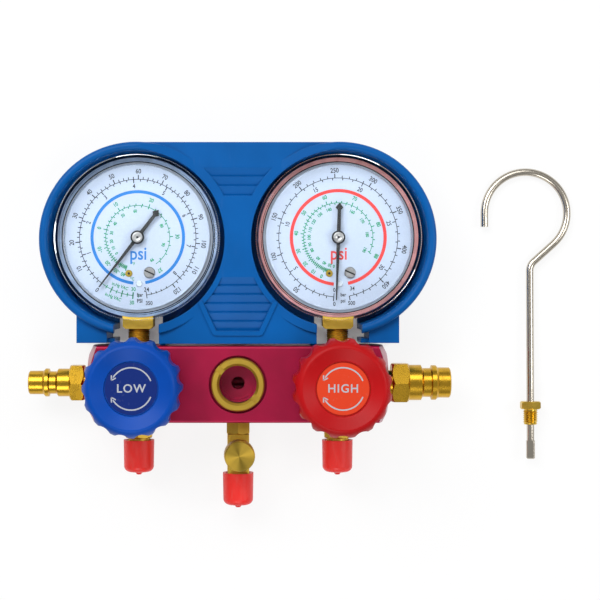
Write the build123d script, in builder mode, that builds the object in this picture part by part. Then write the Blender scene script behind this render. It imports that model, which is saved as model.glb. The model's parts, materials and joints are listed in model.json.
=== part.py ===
from build123d import *
import math
import os

# Two-valve refrigerant manifold gauge set, in millimetres.
# It lies on its back: +X runs from the low side to the high side, +Y from the hose ports to the
# gauges and +Z out of the dials. The origin is the middle of the manifold block's back face.

os.makedirs("parts", exist_ok=True)

# ------------------------------------------------------------------ driving dimensions
# fits
seat_gap = 0.02          # radial gap of a part that is screwed, pressed or glued in
run_gap = 0.05           # radial gap of a part that turns or slides
edge_break = 0.5         # usual chamfer of turned ends
corner_break = 0.8       # slope of the cones that turn off a hexagon's corners

# pressure gauges
lens_r = 37.7            # outer radius of the lens and its serrated band
case_wall = 1.5
case_inset = 0.2         # case inside the lens band's outline
case_rest = 0.5          # case's back above the cover's floor
case_over = 0.3          # case's front above the square socket
case_bevel = 1.0
bezel_t = 1.2            # thickness of the case's front flange
bezel_in = 0.6           # the flange reaches this far inside the dial's edge
lens_h = 7.5
lens_wall = 4.5          # from the band's outside to the clear bore
lens_step = 0.3
lens_foot = 0.5
lens_roll = 1.2          # height and inset of the lens's front slope
lens_roll_in = 2.4
socket_w = 14.0
socket_t = 12.4
socket_corner = 1.2
socket_bore = 2.0
socket_show = 4.3        # square socket standing out below the lens band
stem_show = 7.5          # thread visible between block and socket
stem_r = 5.1             # 1/8 inch pipe thread
port_depth = 9.0         # engagement of every fitting in the block

# gauge cover
cup_gap = 2.3            # between lens band and cup wall
cover_wall = 2.5
cover_back = 2.0
rim_w = 4.0
rim_over = 4.2           # rim's crest above the lens
rim_foot = 7.2           # levels of the rim's section below its crest
rim_under = 6.7
rim_edge = 5.2
rim_side = 2.2
rim_mouth = 3.0
rim_lead = 1.7
rim_in = 0.5             # thickening of the cup's wall under the rim
rim_peak = 0.45          # place of the crest across the rim's width
rim_fade = 0.55          # the rims have sunk into the panel at this share of its half width
ramp_over = 0.1
ramp_h = 9.0
rod_channel = 7.0        # free width between the two cups
cup_drop = 1.0           # the cups sit this much lower than the gauges
tab_in = 10.2            # tabs and leg, measured outwards from the gauge axis
leg_in = 13.5
leg_out = 27.3
leg_foot_gap = 1.3
leg_foot = 2.0
leg_drop = 1.0           # legs and feet below the panel's front
foot_drop = 4.0
skirt_gap = 1.0
slat_pitch = 4.3
rod_notch = 5.0
slat_depth = 1.4
slat_wall = 2.2
upper_slats = 3
upper_flat = 11.4        # plain strip above the upper slats
pocket_slats = 6
pocket_rise = 6.8        # pocket's lower edge above the block
pocket_h = 24.5
pocket_low_half = 9.7
pocket_mid_half = 16.1
pocket_top_half = 8.1
pocket_mid_up = 13.8     # widest line of the pocket above its lower edge
rib_w = 2.2
rib_h = 0.8
rib_root = 1.0
field_gap = 0.3          # between a rim and the upper slats
bay_over = 2.0           # the stems' bays reach this far above the lens band's foot
edge_gap_h = 8.0

# manifold block
block_w = 35.0
block_h = 30.0
end_run = 22.5           # from the valve axis to the block's end
edge_round = 1.2
end_face_r = 14.2        # the ends are turned: flat disc, then a cone
end_cone = 0.5           # cone run per unit of radius
gallery_r = 2.0
gallery_z = 6.5
plug_r = 2.6
plug_len = 5.0
plug_sunk = 1.0

# valves
bonnet_r = 8.0
bonnet_depth = 8.0
bonnet_hex = 19.0
bonnet_hex_h = 5.0
bonnet_neck_r = 6.5
bonnet_neck_h = 4.0
chamber_r = 6.0
seat_deep = 19.0         # valve seat below the block's face
orifice_r = 2.25
disc_r = 3.6
disc_h = 2.6
pin_r = 2.0              # spindle's end pin, which turns in the seat disc
thread_r = 4.0
thread_len = 9.5
spindle_r = 3.0
lift = 3.0               # travel of the seat disc
lift_spare = 0.3
disc_gap = 0.9           # between the seat disc and the spindle's thread
disc_floor = 1.0         # thickness of the seat disc under the spindle's pin
packing_up = 3.0         # packing above the block's face
packing_h = 2.0
packing_r = 5.0
packing_round = 0.4

# knobs
knob_r = 22.0
knob_h = 18.0
knob_lift = 4.0          # underside of the knob above the bonnet's neck
lobes = 16
flute_r = 4.2
flute_deep = 1.7
knob_wall = 3.0
knob_hub_r = 6.5
label_r = 11.8
label_h = 0.6
label_sink = 2.8
knob_screw_r = 3.6
knob_screw_h = 2.4
knob_screw_shank = 1.8
knob_screw_len = 7.0
knob_screw_round = 1.0
screw_pinch = 1.0        # the spindle ends this far below the screw's head
flute_round = 0.7
knob_rise = 8.0          # straight part of the rim's side
knob_skirt = 1.5         # bevel at the knob's foot
dome_in = 4.5            # the rim rolls over this far inwards
knob_dish = 2.2          # depth of the dished top
knob_bowl = 9.9          # depth of the hollow underneath
cross_w = 0.9            # cross recess of the knob's screw
cross_deep = 1.2
label_gap = 0.1

# sight glass
ring_r = 12.1
ring_hole_r = 8.55
ring_proud = 0.8
ring_h = 4.8
ring_slot = 2.8
ring_slot_deep = 1.6
ring_turn = 141.0
ring_bevel = 1.0
recess_r = 13.2
glass_r = 11.5
glass_h = 3.0
glass_bevel = 0.3
gasket_h = 1.0
window_r = 8.6
floor_r = 7.35
window_step = 1.5
window_floor = 3.5
sight_hole_r = 3.0

# hose ports, 1/4 inch SAE flare
flare_r = 5.56
flare_bore = 2.4
flare_nose = 3.0
flare_run = 12.8
flare_lip = 0.6          # wall at the nose's tip
hose_hex = 12.0
hose_hex_len = 8.0

# vinyl dust caps
cap_wall = 1.5
cap_len = 14.8
cap_nub = 1.3
cap_nub_r = 2.0
cap_round = 3.0
cap_draft = 0.2
cap_clear = 1.0          # between a port's hexagon and the cap's mouth

# service tee in the middle
tee_stub_r = 4.8
tee_hex = 10.5
tee_hex_len = 6.2
tee_w = 9.9
tee_body_len = 18.0
tee_turn = 2.7           # the tee stops this many degrees off square
branch_y = 14.5          # branch axis below the block
branch_neck_r = 4.4
branch_neck = 3.6
branch_len = 13.0        # from the body's face to the flare's nose
tee_edge = 0.8
branch_bevel = 1.0
core_r = 2.3
core_low = 1.0           # core's ends, from the body's face and below the nose
core_high = 3.0
core_taper = 0.8
core_pin_r = 0.7
core_pin_show = 0.6      # pin's end below the flare's nose
service_cap_wall = 1.19
service_cap_len = 10.5
service_cap_top = 2.0
service_seal_h = 1.0

# parking nipples at the ends: 13 mm (low side) and 16 mm (high side) quick couplers;
# (end, radius) of stub, hexagon, body, neck, collar and tip, outwards from the block
low_steps = ((2.4, 5.4), (9.2, 8.0), (15.2, 6.45), (18.6, 5.2), (21.7, 6.5), (28.3, 5.45))
high_steps = ((2.4, 5.8), (10.4, 8.8), (16.6, 8.2), (20.5, 6.7), (24.0, 8.05), (29.6, 7.0))
nipple_bore = 1.9
nipple_bore_deep = 12.0

# gauge movement
tube_in = 10.2           # Bourdon tube's mean radius inside the lens band's
tube_t = 2.4
tube_h = 8.0
tube_round = 0.3         # rounding of the tube's edges, as a share of its thickness
tube_start = 260.0
tube_end = -40.0
lug_at = (21.0, -21.5)
lug_r = 1.8
lug_t = 2.4
lug_over = 0.4           # ear's top above the tube
movement_deep = 9.0      # socket's head inside the case below the case's front
head_up = 11.0           # head's end below the gauge axis
plate_t = 1.0
plate_apart = 5.0
pillar_r = 1.0
pillar_rim = 1.2         # plate around a pillar
gear_up = 2.1            # sector above the back plate
pillars = ((-6.5, -20.0), (6.8, -12.0), (0.0, 5.0))
gear_module = 0.4
pinion_teeth = 10
gear_ratio = 8
tooth_w = 0.46           # tooth width on the pitch line
tooth_tip = 0.22
tooth_add = 0.3
tooth_ded = 0.55
tooth_root = 0.2         # teeth reach this far into the wheel
tooth_flare = 0.55
sector_t = 1.2
sector_half = 28.0
sector_rim = 3.4
sector_web = 15.0
web_lap = 0.5            # the web runs this far into the rim
web_spare = 5.0
hub_r = 2.0
arm_r = 1.2              # half width of the sector's tail
sector_hub_r = 1.6
end_shake = 0.4          # pivot ends inside the plates' outer faces
pivot_r = 0.6
arbor_r = 0.9
tail_r = 4.6
link_t = 1.0
link_eye = 1.5
link_w = 1.6
link_gap = 0.2           # above and below the link
link_pin_over = 0.3      # the pin stands this far below the link
pinion_over = 0.3        # the pinion is this much wider than the sector, each side

# dial and pointer
dial_t = 0.5
dial_hole_gap = 0.6
lens_t = 1.6
dial_shank_r = 1.3
dial_shank_len = 1.8
dial_screw_h = 1.0
dial_slot_w = 0.7
dial_slot_over = 1.0
dial_slot_turn = -25.0
recess_deep = 0.5        # slot in the screw and hole in the eyelet
head_edge = 0.3
stud_wall = 0.8          # studs under the screw and the eyelet
tap_deep = 1.9
dial_screw_at = (5.4, -16.1)
dial_screw_r = 2.6
eyelet_at = (-4.1, -16.5)
eyelet_r = 1.6
eyelet_h = 0.6
eyelet_hole_r = 0.6
boss_at = (0.7, -21.2)
boss_r = 1.5
boss_h = 0.8
boss_taper = 20.0
pointer_up = 2.0         # pointer above the case's front
pointer_t = 0.6
pointer_short = 4.4      # the pointer's tip inside the dial's edge
pointer_tail = 15.9
pointer_root = 0.9       # half widths of the blade
pointer_tip = 0.25
pointer_neck = 0.75
arrow_half = 1.8         # arrow-shaped tail
arrow_barb = 2.2
arrow_back = 3.4
pointer_hub_r = 3.1
pointer_hub_h = 1.2
pointer_hub_top = 1.8
pointer_hub_in = 0.6
pointer_boss_r = 1.8
pointer_boss_h = 0.5
low_rest = 232.2         # pointer's rest directions on the dials
high_rest = 268.1
low_sector_rest = 72.5
high_sector_rest = 68.3

# hanging hook, laid down beside the set with its gland nut
rod_r = 1.75
rod_x = 137.6
nut_y = -9.6
bend_r = 6.0
nut_hex = 8.84
nut_hex_len = 3.6
nut_thread_r = 3.4
nut_thread_len = 7.2
nut_lead = 0.6
tip_start = 7.6          # plain rod between the nut and the flattened tip
tip_len = 8.6
tip_flat = 2.5
tip_round = 0.35         # corner radius as a share of the thickness
tip_w = 4.0
shank_end_y = 54.6
loop_r = 19.5
loop_at = (135.8, 79.2)
hook_mouth_y = 72.8
socket_hole_deep = 8.0
pilot_gap = 0.45         # between the rod and the bore it rests in
pilot_deep = 13.9

# ------------------------------------------------------------------ worked-out places
port_z = block_h / 2
socket_low_z = port_z - socket_t / 2
socket_high_z = port_z + socket_t / 2
case_back_z = cover_back + case_rest
case_front_z = socket_high_z + case_over
lens_front_z = case_front_z + lens_h
rim_z = lens_front_z + rim_over
dial_r = lens_r - lens_wall
tube_r = lens_r - tube_in
head_z = case_front_z - movement_deep
gear_low = head_z + plate_t + gear_up
lug_top = gear_low - link_t - 2 * link_gap
tube_high_z = lug_top - lug_over
tube_low_z = tube_high_z - tube_h
pointer_z = case_front_z + pointer_up
pointer_len = dial_r - pointer_short
seat_z = block_h - seat_deep
packing_z = block_h + packing_up
flute_bottom = knob_r - flute_deep
service_cap_r = flare_r + run_gap + service_cap_wall
socket_hole_r = nut_thread_r
pilot_r = rod_r + pilot_gap
cup_r = lens_r + cup_gap
valve_x = cup_r + cover_wall + rod_channel / 2
skirt_half = valve_x - tab_in
block_len = 2 * (valve_x + end_run)
gauge_y = block_w / 2 + stem_show + socket_show + lens_r
cup_y = gauge_y - cup_drop
rim_r = cup_r + rim_w
cover_top = cup_y + rim_r
knob_z = block_h + bonnet_hex_h + bonnet_neck_h + knob_lift
sector_r = gear_module * pinion_teeth * gear_ratio / 2
pinion_r = gear_module * pinion_teeth / 2
centre_gap = sector_r + pinion_r
sides = (("low", -1), ("high", 1))


def across(point, normal, x_dir):
    """A plane at a point with its normal and x direction."""
    return Plane(origin=point, x_dir=x_dir, z_dir=normal)


def turn(steps, line, mode=Mode.ADD):
    """Turn an outline of (distance, radius) points about the x axis of a plane."""
    with BuildSketch(line) as half:
        with BuildLine():
            Polyline((steps[0][0], 0), *steps, (steps[-1][0], 0), close=True)
        make_face()
    revolve(half.sketch, axis=Axis(line.origin, line.x_dir), mode=mode)


def ring(points, line, mode=Mode.ADD):
    """Turn a closed outline of (distance, radius) points that stays clear of the axis."""
    with BuildSketch(line) as section:
        with BuildLine():
            Polyline(*points, close=True)
        make_face()
    revolve(section.sketch, axis=Axis(line.origin, line.x_dir), mode=mode)


def hexagon(flats, start, end, line):
    """A hexagon bar along the x axis of a plane, its corners turned off at both ends."""
    base = Plane(origin=line.origin + line.x_dir * start, x_dir=line.z_dir, z_dir=line.x_dir)
    with BuildSketch(base) as outline:
        RegularPolygon(flats / 2, 6, major_radius=False)
    extrude(outline.sketch, amount=end - start)
    inner = 0.49 * flats
    for at, way in ((start, 1), (end, -1)):
        slope_end = at + way * corner_break * (flats - inner)
        ring(((at, inner), (at, flats), (slope_end, flats)), line, Mode.SUBTRACT)


def finish(builder, name):
    """Label a finished piece and write its STEP file."""
    builder.part.label = name
    export_step(builder.part, f"parts/{name}.step")


def upward(x, y, z=0.0):
    """A line of turning that runs along +Z."""
    return Plane(origin=(x, y, z), x_dir=(0, 0, 1), z_dir=(0, 1, 0))


def outward(side):
    """A line of turning along the block's axis, out of the end on one side."""
    return Plane(origin=(side * block_len / 2, 0, port_z), x_dir=(side, 0, 0), z_dir=(0, 0, 1))


def downward(x):
    """A line of turning out of the block's hose face, along -Y."""
    return Plane(origin=(x, -block_w / 2, port_z), x_dir=(0, -1, 0), z_dir=(0, 0, 1))


# ------------------------------------------------------------------ manifold block
def build_block():
    """Anodised bar with turned ends, bored for valves, gauges, hoses, sight glass and hook."""
    half_w = block_w / 2
    centre_line = Plane(origin=(0, 0, port_z), x_dir=(1, 0, 0), z_dir=(0, 0, 1))
    corner_r = 1.1 * math.hypot(half_w, port_z)
    cone_run = (corner_r - end_face_r) * end_cone
    half_len = block_len / 2
    with BuildPart() as block:
        with BuildSketch():
            Rectangle(block_len, block_w)
        extrude(amount=block_h)
        fillet(block.edges().filter_by(Axis.X), edge_round)
        turn(((-half_len, end_face_r), (cone_run - half_len, corner_r),
              (half_len - cone_run, corner_r), (half_len, end_face_r)), centre_line, Mode.INTERSECT)
        for _, side in sides:
            valve_face = across((side * valve_x, 0, block_h), (0, 0, 1), (1, 0, 0))
            with Locations(valve_face):
                Hole(orifice_r, block_h - gallery_z)
                Hole(chamber_r, block_h - seat_z)
                Hole(bonnet_r, bonnet_depth)
            gauge_face = across((side * valve_x, half_w, port_z), (0, 1, 0), (1, 0, 0))
            hose_face = across((side * valve_x, -half_w, port_z), (0, -1, 0), (1, 0, 0))
            for face in (gauge_face, hose_face):
                with Locations(face):
                    Hole(gallery_r, half_w)
                    Hole(stem_r, port_depth)
            with Locations(across((side * half_len, 0, port_z), (side, 0, 0), (0, 1, 0))):
                Hole(stem_r, port_depth)
        with Locations(across((0, -half_w, port_z), (0, -1, 0), (1, 0, 0))):
            Hole(gallery_r, half_w)
            Hole(tee_stub_r, port_depth)
        with Locations(across((0, half_w, port_z), (0, 1, 0), (1, 0, 0))):
            Hole(pilot_r, pilot_deep)
            Hole(socket_hole_r, socket_hole_deep)
        with Locations(across((0, 0, block_h), (0, 0, 1), (1, 0, 0))):
            Hole(recess_r, ring_h - ring_proud)
            Hole(glass_r + seat_gap, sight_stack())
            Hole(window_r, sight_stack() + window_step)
            Hole(floor_r, sight_stack() + window_floor)
            Hole(sight_hole_r, block_h - gallery_z)
        with Locations(across((-half_len, 0, gallery_z), (-1, 0, 0), (0, 1, 0))):
            Hole(gallery_r, half_len + valve_x)
            Hole(plug_r, plug_len + plug_sunk)
    finish(block, "manifold_block")
    with BuildPart() as plug:
        with BuildSketch(across((plug_sunk - half_len, 0, gallery_z), (1, 0, 0), (0, 1, 0))):
            Circle(plug_r - seat_gap)
        extrude(amount=plug_len)
    finish(plug, "gallery_plug")


def sight_stack():
    """Depth of the sight glass's seat below the block's face."""
    return ring_h - ring_proud + glass_h + gasket_h


# ------------------------------------------------------------------ sight glass
def build_sight_glass():
    """Flat gasket, glass disc and slotted brass ring in the front of the block."""
    seat = block_h - sight_stack()
    line = upward(0, 0)
    glass_low = seat + gasket_h
    ring_low = glass_low + glass_h
    ring_top = ring_low + ring_h
    with BuildPart() as gasket:
        ring(((seat, window_r), (seat, glass_r), (glass_low, glass_r), (glass_low, window_r)), line)
    finish(gasket, "sight_glass_gasket")
    with BuildPart() as glass:
        turn(((glass_low, glass_r - glass_bevel), (glass_low + glass_bevel, glass_r), (ring_low, glass_r)),
             line)
    finish(glass, "sight_glass")
    with BuildPart() as brass:
        ring(((ring_low, ring_hole_r), (ring_low, ring_r), (ring_top - edge_break, ring_r),
              (ring_top, ring_r - edge_break), (ring_top, ring_hole_r + ring_bevel),
              (ring_top - ring_bevel, ring_hole_r)), line)
        with BuildSketch(Plane.XY.offset(ring_top)) as slots:
            Rectangle(3 * ring_r, ring_slot, rotation=ring_turn)
        extrude(slots.sketch, amount=-ring_slot_deep, mode=Mode.SUBTRACT)
    finish(brass, "sight_glass_ring")


# ------------------------------------------------------------------ valves and knobs
def build_valve(name, side):
    """Bonnet, packing, spindle, seat disc, fluted knob, its screw and its label."""
    line = upward(side * valve_x, 0)
    foot = block_h - bonnet_depth
    shoulder = block_h + bonnet_hex_h
    neck_top = shoulder + bonnet_neck_h
    thread_low = seat_z + disc_h + disc_gap
    thread_top = thread_low + thread_len
    bore_top = thread_top + lift + lift_spare
    packing_top = packing_z + packing_h
    pin_low = seat_z + disc_floor
    with BuildPart() as bonnet:
        turn(((foot, bonnet_r - seat_gap), (block_h, bonnet_r - seat_gap)), line)
        hexagon(bonnet_hex, block_h, shoulder, line)
        turn(((block_h, bonnet_neck_r), (neck_top - edge_break, bonnet_neck_r),
              (neck_top, bonnet_neck_r - edge_break)), line)
        turn(((foot, thread_r + run_gap), (bore_top, thread_r + run_gap),
              (bore_top, spindle_r + run_gap), (neck_top, spindle_r + run_gap)), line, Mode.SUBTRACT)
        turn(((packing_z, packing_r), (packing_top, packing_r)), line, Mode.SUBTRACT)
    finish(bonnet, f"{name}_valve_bonnet")
    with BuildPart() as packing:
        ring(((packing_z, spindle_r + run_gap), (packing_z, packing_r - seat_gap),
              (packing_top, packing_r - seat_gap), (packing_top, spindle_r + run_gap)), line)
        fillet(packing.edges(), packing_round)
    finish(packing, f"{name}_valve_packing")
    with BuildPart() as disc:
        turn(((seat_z, disc_r - edge_break), (seat_z + edge_break, disc_r), (seat_z + disc_h, disc_r)), line)
        turn(((pin_low, pin_r + run_gap), (seat_z + disc_h, pin_r + run_gap)), line, Mode.SUBTRACT)
    finish(disc, f"{name}_valve_seat_disc")
    screw_seat = knob_z + knob_h - label_sink - label_h - knob_screw_h - edge_break
    spindle_top = screw_seat - screw_pinch
    with BuildPart() as spindle:
        turn(((pin_low + run_gap, pin_r - edge_break), (pin_low + run_gap + edge_break, pin_r),
              (thread_low, pin_r), (thread_low, thread_r), (thread_top, thread_r), (thread_top, spindle_r),
              (spindle_top, spindle_r)), line)
        turn(((spindle_top - knob_screw_len, knob_screw_shank), (spindle_top, knob_screw_shank)),
             line, Mode.SUBTRACT)
    finish(spindle, f"{name}_valve_spindle")
    build_knob(name, line, screw_seat)


def build_knob(name, line, screw_seat):
    """Moulded knob with flutes round a domed rim, a label disc and the screw under it."""
    top = knob_z + knob_h
    flute_at = flute_bottom + flute_r
    phase = 0 if name == "low" else 180 / lobes
    label_seat = top - label_sink - label_h
    dish_z = top - knob_dish
    side_r = 1.01 * knob_r   # the turned outline passes just outside the lobes
    bowl_r = flute_bottom - knob_wall
    bowl_z = knob_z + knob_bowl
    screw_top = screw_seat + knob_screw_h
    with BuildPart() as knob:
        with BuildSketch(Plane(origin=(line.origin.X, 0, knob_z))) as outline:
            Circle(knob_r)
            with PolarLocations(flute_at, lobes, start_angle=phase + 180 / lobes):
                Circle(flute_r, mode=Mode.SUBTRACT)
            fillet(outline.vertices(), flute_round)
        extrude(outline.sketch, amount=knob_h)
        with BuildSketch(line) as dome:
            with BuildLine():
                l1 = Polyline((dish_z, 0), (knob_z, 0), (knob_z, side_r - knob_skirt),
                              (knob_z + knob_skirt, side_r), (knob_z + knob_rise, side_r))
                l2 = EllipticalCenterArc((knob_z + knob_rise, side_r - dome_in), knob_h - knob_rise, dome_in,
                                         start_angle=90, arc_size=-90)
                Polyline(l2 @ 1, (dish_z, label_r + edge_break), l1 @ 0)
            make_face()
        revolve(dome.sketch, axis=Axis(line.origin, line.x_dir), mode=Mode.INTERSECT)
        turn(((label_seat, label_r + label_gap), (top, label_r + label_gap)), line, Mode.SUBTRACT)
        ring(((knob_z, knob_hub_r), (knob_z, bowl_r), (bowl_z, bowl_r - edge_break), (bowl_z, knob_hub_r)),
             line, Mode.SUBTRACT)
        turn(((knob_z, spindle_r + seat_gap), (screw_seat, spindle_r + seat_gap)), line, Mode.SUBTRACT)
        turn(((screw_seat, knob_screw_r + label_gap), (label_seat, knob_screw_r + label_gap)),
             line, Mode.SUBTRACT)
    finish(knob, f"{name}_valve_knob")
    with BuildPart() as screw:
        turn(((screw_seat - knob_screw_len, knob_screw_shank - seat_gap),
              (screw_seat, knob_screw_shank - seat_gap), (screw_seat, knob_screw_r),
              (screw_top - knob_screw_round, knob_screw_r), (screw_top, knob_screw_r - knob_screw_round)),
             line)
        with BuildSketch(Plane(origin=(line.origin.X, 0, screw_top))) as cross:
            Rectangle(knob_screw_r, cross_w)
            Rectangle(cross_w, knob_screw_r)
        extrude(cross.sketch, amount=-cross_deep, mode=Mode.SUBTRACT)
    finish(screw, f"{name}_knob_screw")
    with BuildPart() as label:
        turn(((label_seat, label_r), (label_seat + label_h, label_r)), line)
    finish(label, f"{name}_knob_label")


# ------------------------------------------------------------------ fittings and caps
def flare(start, line):
    """Male 1/4 inch flare: threaded barrel and cone nose, measured along a line of turning."""
    nose = start + flare_run
    turn(((start, flare_r), (nose - flare_nose, flare_r), (nose, flare_bore + flare_lip)), line)


def build_hose_port(name, side):
    """Hexagon and flare screwed into the block below a valve."""
    line = downward(side * valve_x)
    with BuildPart() as port:
        turn(((-port_depth, stem_r - seat_gap), (0, stem_r - seat_gap)), line)
        hexagon(hose_hex, 0, hose_hex_len, line)
        flare(hose_hex_len, line)
        turn(((-port_depth, flare_bore), (hose_hex_len + flare_run, flare_bore)), line, Mode.SUBTRACT)
    finish(port, f"{name}_hose_port")


def build_dust_cap(name, line, mouth):
    """Red vinyl cap over a flare: thin wall, rounded end with a moulding nub."""
    outer = flare_r + run_gap + cap_wall
    end = mouth + cap_len
    inner = flare_r + run_gap
    with BuildPart() as cap:
        with BuildSketch(line) as half:
            with BuildLine():
                l1 = Polyline((mouth, inner), (mouth, outer), (end - cap_round, outer - cap_draft))
                l2 = ThreePointArc(l1 @ 1, (end - cap_round * 0.25, outer - cap_round * 0.35),
                                   (end, outer - cap_round))
                Polyline(l2 @ 1, (end, cap_nub_r), (end + cap_nub, cap_nub_r / 2), (end + cap_nub, 0),
                         (end - cap_wall, 0), (end - cap_wall, inner), l1 @ 0)
            make_face()
        revolve(half.sketch, axis=Axis(line.origin, line.x_dir))
    finish(cap, f"{name}_dust_cap")


def branch_line():
    """Line of turning of the tee's branch, which leans by the tee's turn."""
    lean = math.radians(tee_turn)
    return Plane(origin=(0, -block_w / 2 - branch_y, port_z),
                 x_dir=(math.sin(lean), 0, math.cos(lean)), z_dir=(0, 1, 0))


def build_tee():
    """Centre service tee: flare below, valve branch in front with core, seal and knurled cap."""
    line = downward(0)
    branch = branch_line()
    body_end = tee_hex_len + tee_body_len
    face = tee_w / 2
    nose = face + branch_len
    with BuildPart() as tee:
        turn(((-port_depth, tee_stub_r - seat_gap), (0, tee_stub_r - seat_gap)), line)
        hexagon(tee_hex, 0, tee_hex_len, line)
        body = Plane(origin=(0, -block_w / 2 - tee_hex_len, port_z), x_dir=branch.x_dir, z_dir=(0, -1, 0))
        with BuildSketch(body) as square:
            RectangleRounded(tee_w, tee_w, tee_edge)
        extrude(square.sketch, amount=tee_body_len)
        flare(body_end, line)
        turn(((0, branch_neck_r), (face + branch_neck, branch_neck_r), (face + branch_neck, flare_r),
              (nose - branch_bevel, flare_r), (nose, flare_r - branch_bevel)), branch)
        turn(((-port_depth, flare_bore), (body_end + flare_run, flare_bore)), line, Mode.SUBTRACT)
        turn(((0, core_r + seat_gap), (nose, core_r + seat_gap)), branch, Mode.SUBTRACT)
    finish(tee, "service_tee")
    core_foot = face + core_low
    core_top = nose - core_high
    with BuildPart() as core:
        turn(((core_foot, core_r - core_taper), (core_foot + core_taper, core_r), (core_top, core_r)),
             branch)
        turn(((core_foot, core_pin_r + run_gap), (core_top, core_pin_r + run_gap)), branch, Mode.SUBTRACT)
    finish(core, "service_valve_core")
    with BuildPart() as pin:
        turn(((face, core_pin_r), (nose - core_pin_show - core_pin_r / 2, core_pin_r),
              (nose - core_pin_show, core_pin_r / 2)), branch)
    finish(pin, "service_core_pin")
    with BuildPart() as seal:
        turn(((nose, flare_r - branch_bevel), (nose + service_seal_h, flare_r - branch_bevel)), branch)
    finish(seal, "service_cap_seal")
    seal_top = nose + service_seal_h
    top = seal_top + service_cap_top
    mouth = top - service_cap_len
    with BuildPart() as cap:
        turn(((mouth, service_cap_r - edge_break), (mouth + edge_break, service_cap_r),
              (top - edge_break, service_cap_r), (top, service_cap_r - edge_break)), branch)
        turn(((mouth, flare_r + run_gap), (seal_top, flare_r + run_gap)), branch, Mode.SUBTRACT)
    finish(cap, "service_cap")


def build_nipple(name, side, steps):
    """Parking nipple for a quick coupler, screwed into an end of the block."""
    line = outward(side)
    (stub_end, stub_r), (hex_end, hex_r), (body_end, body_r) = steps[:3]
    (neck_end, neck_r), (collar_end, collar_r), (tip_end, tip_r) = steps[3:]
    with BuildPart() as nipple:
        turn(((-port_depth, stem_r - seat_gap), (0, stem_r - seat_gap), (0, stub_r), (stub_end, stub_r)),
             line)
        hexagon(2 * hex_r, stub_end, hex_end, line)
        turn(((stub_end, body_r), (body_end - edge_break, body_r), (body_end, neck_r + edge_break),
              (body_end + edge_break, neck_r), (neck_end, neck_r), (neck_end + edge_break, collar_r),
              (collar_end - (collar_r - tip_r), collar_r), (collar_end, tip_r),
              (tip_end - edge_break, tip_r), (tip_end, tip_r - edge_break)), line)
        turn(((tip_end - nipple_bore_deep, nipple_bore), (tip_end, nipple_bore)), line, Mode.SUBTRACT)
    finish(nipple, f"{name}_side_nipple")


# ------------------------------------------------------------------ gauge cover
def slat_rows(top, pitch, count, front):
    """Sawtooth rows across the panel: each slat sinks towards the block, then steps back up."""
    with BuildSketch(Plane.YZ) as rows:
        for k in range(count):
            high = top - k * pitch
            low = high - pitch
            with BuildLine():
                Polyline((high, front), (low, front - slat_depth), (low, front - slat_depth - slat_wall),
                         (high, front - slat_wall), close=True)
            make_face()
    return rows.sketch


def upper_window():
    """Outline of the slatted field between the two rims."""
    top = cover_top - upper_flat
    height = upper_slats * slat_pitch
    with BuildSketch(mode=Mode.PRIVATE) as window:
        with Locations((0, top - height / 2)):
            Rectangle(2 * valve_x, height)
        with Locations((-valve_x, cup_y), (valve_x, cup_y)):
            Circle(rim_r + field_gap, mode=Mode.SUBTRACT)
    return window.sketch


def pocket_points():
    """Right-hand corners of the six-sided pocket, from its lower edge up."""
    low = block_w / 2 + pocket_rise
    middle = low + pocket_mid_up
    return ((pocket_low_half, low), (pocket_mid_half, middle), (pocket_top_half, low + pocket_h))


def pocket_window():
    """Outline of the six-sided slatted pocket, bounded by the cups."""
    right = pocket_points()
    left = [(-x, y) for x, y in reversed(right)]
    with BuildSketch(mode=Mode.PRIVATE) as window:
        with BuildLine():
            Polyline(*right, *left, close=True)
        make_face()
        with Locations((-valve_x, cup_y), (valve_x, cup_y)):
            Circle(cup_r + cover_wall, mode=Mode.SUBTRACT)
    return window.sketch


def build_louvres(window, top, pitch, count):
    """One field of slats, cut to the outline of its window."""
    front = block_h
    with BuildPart() as louvres:
        extrude(slat_rows(top, pitch, count, front), amount=valve_x, both=True)
        extrude(Plane.XY.offset(front / 2) * window, amount=front, mode=Mode.INTERSECT)
    return louvres.part


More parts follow.
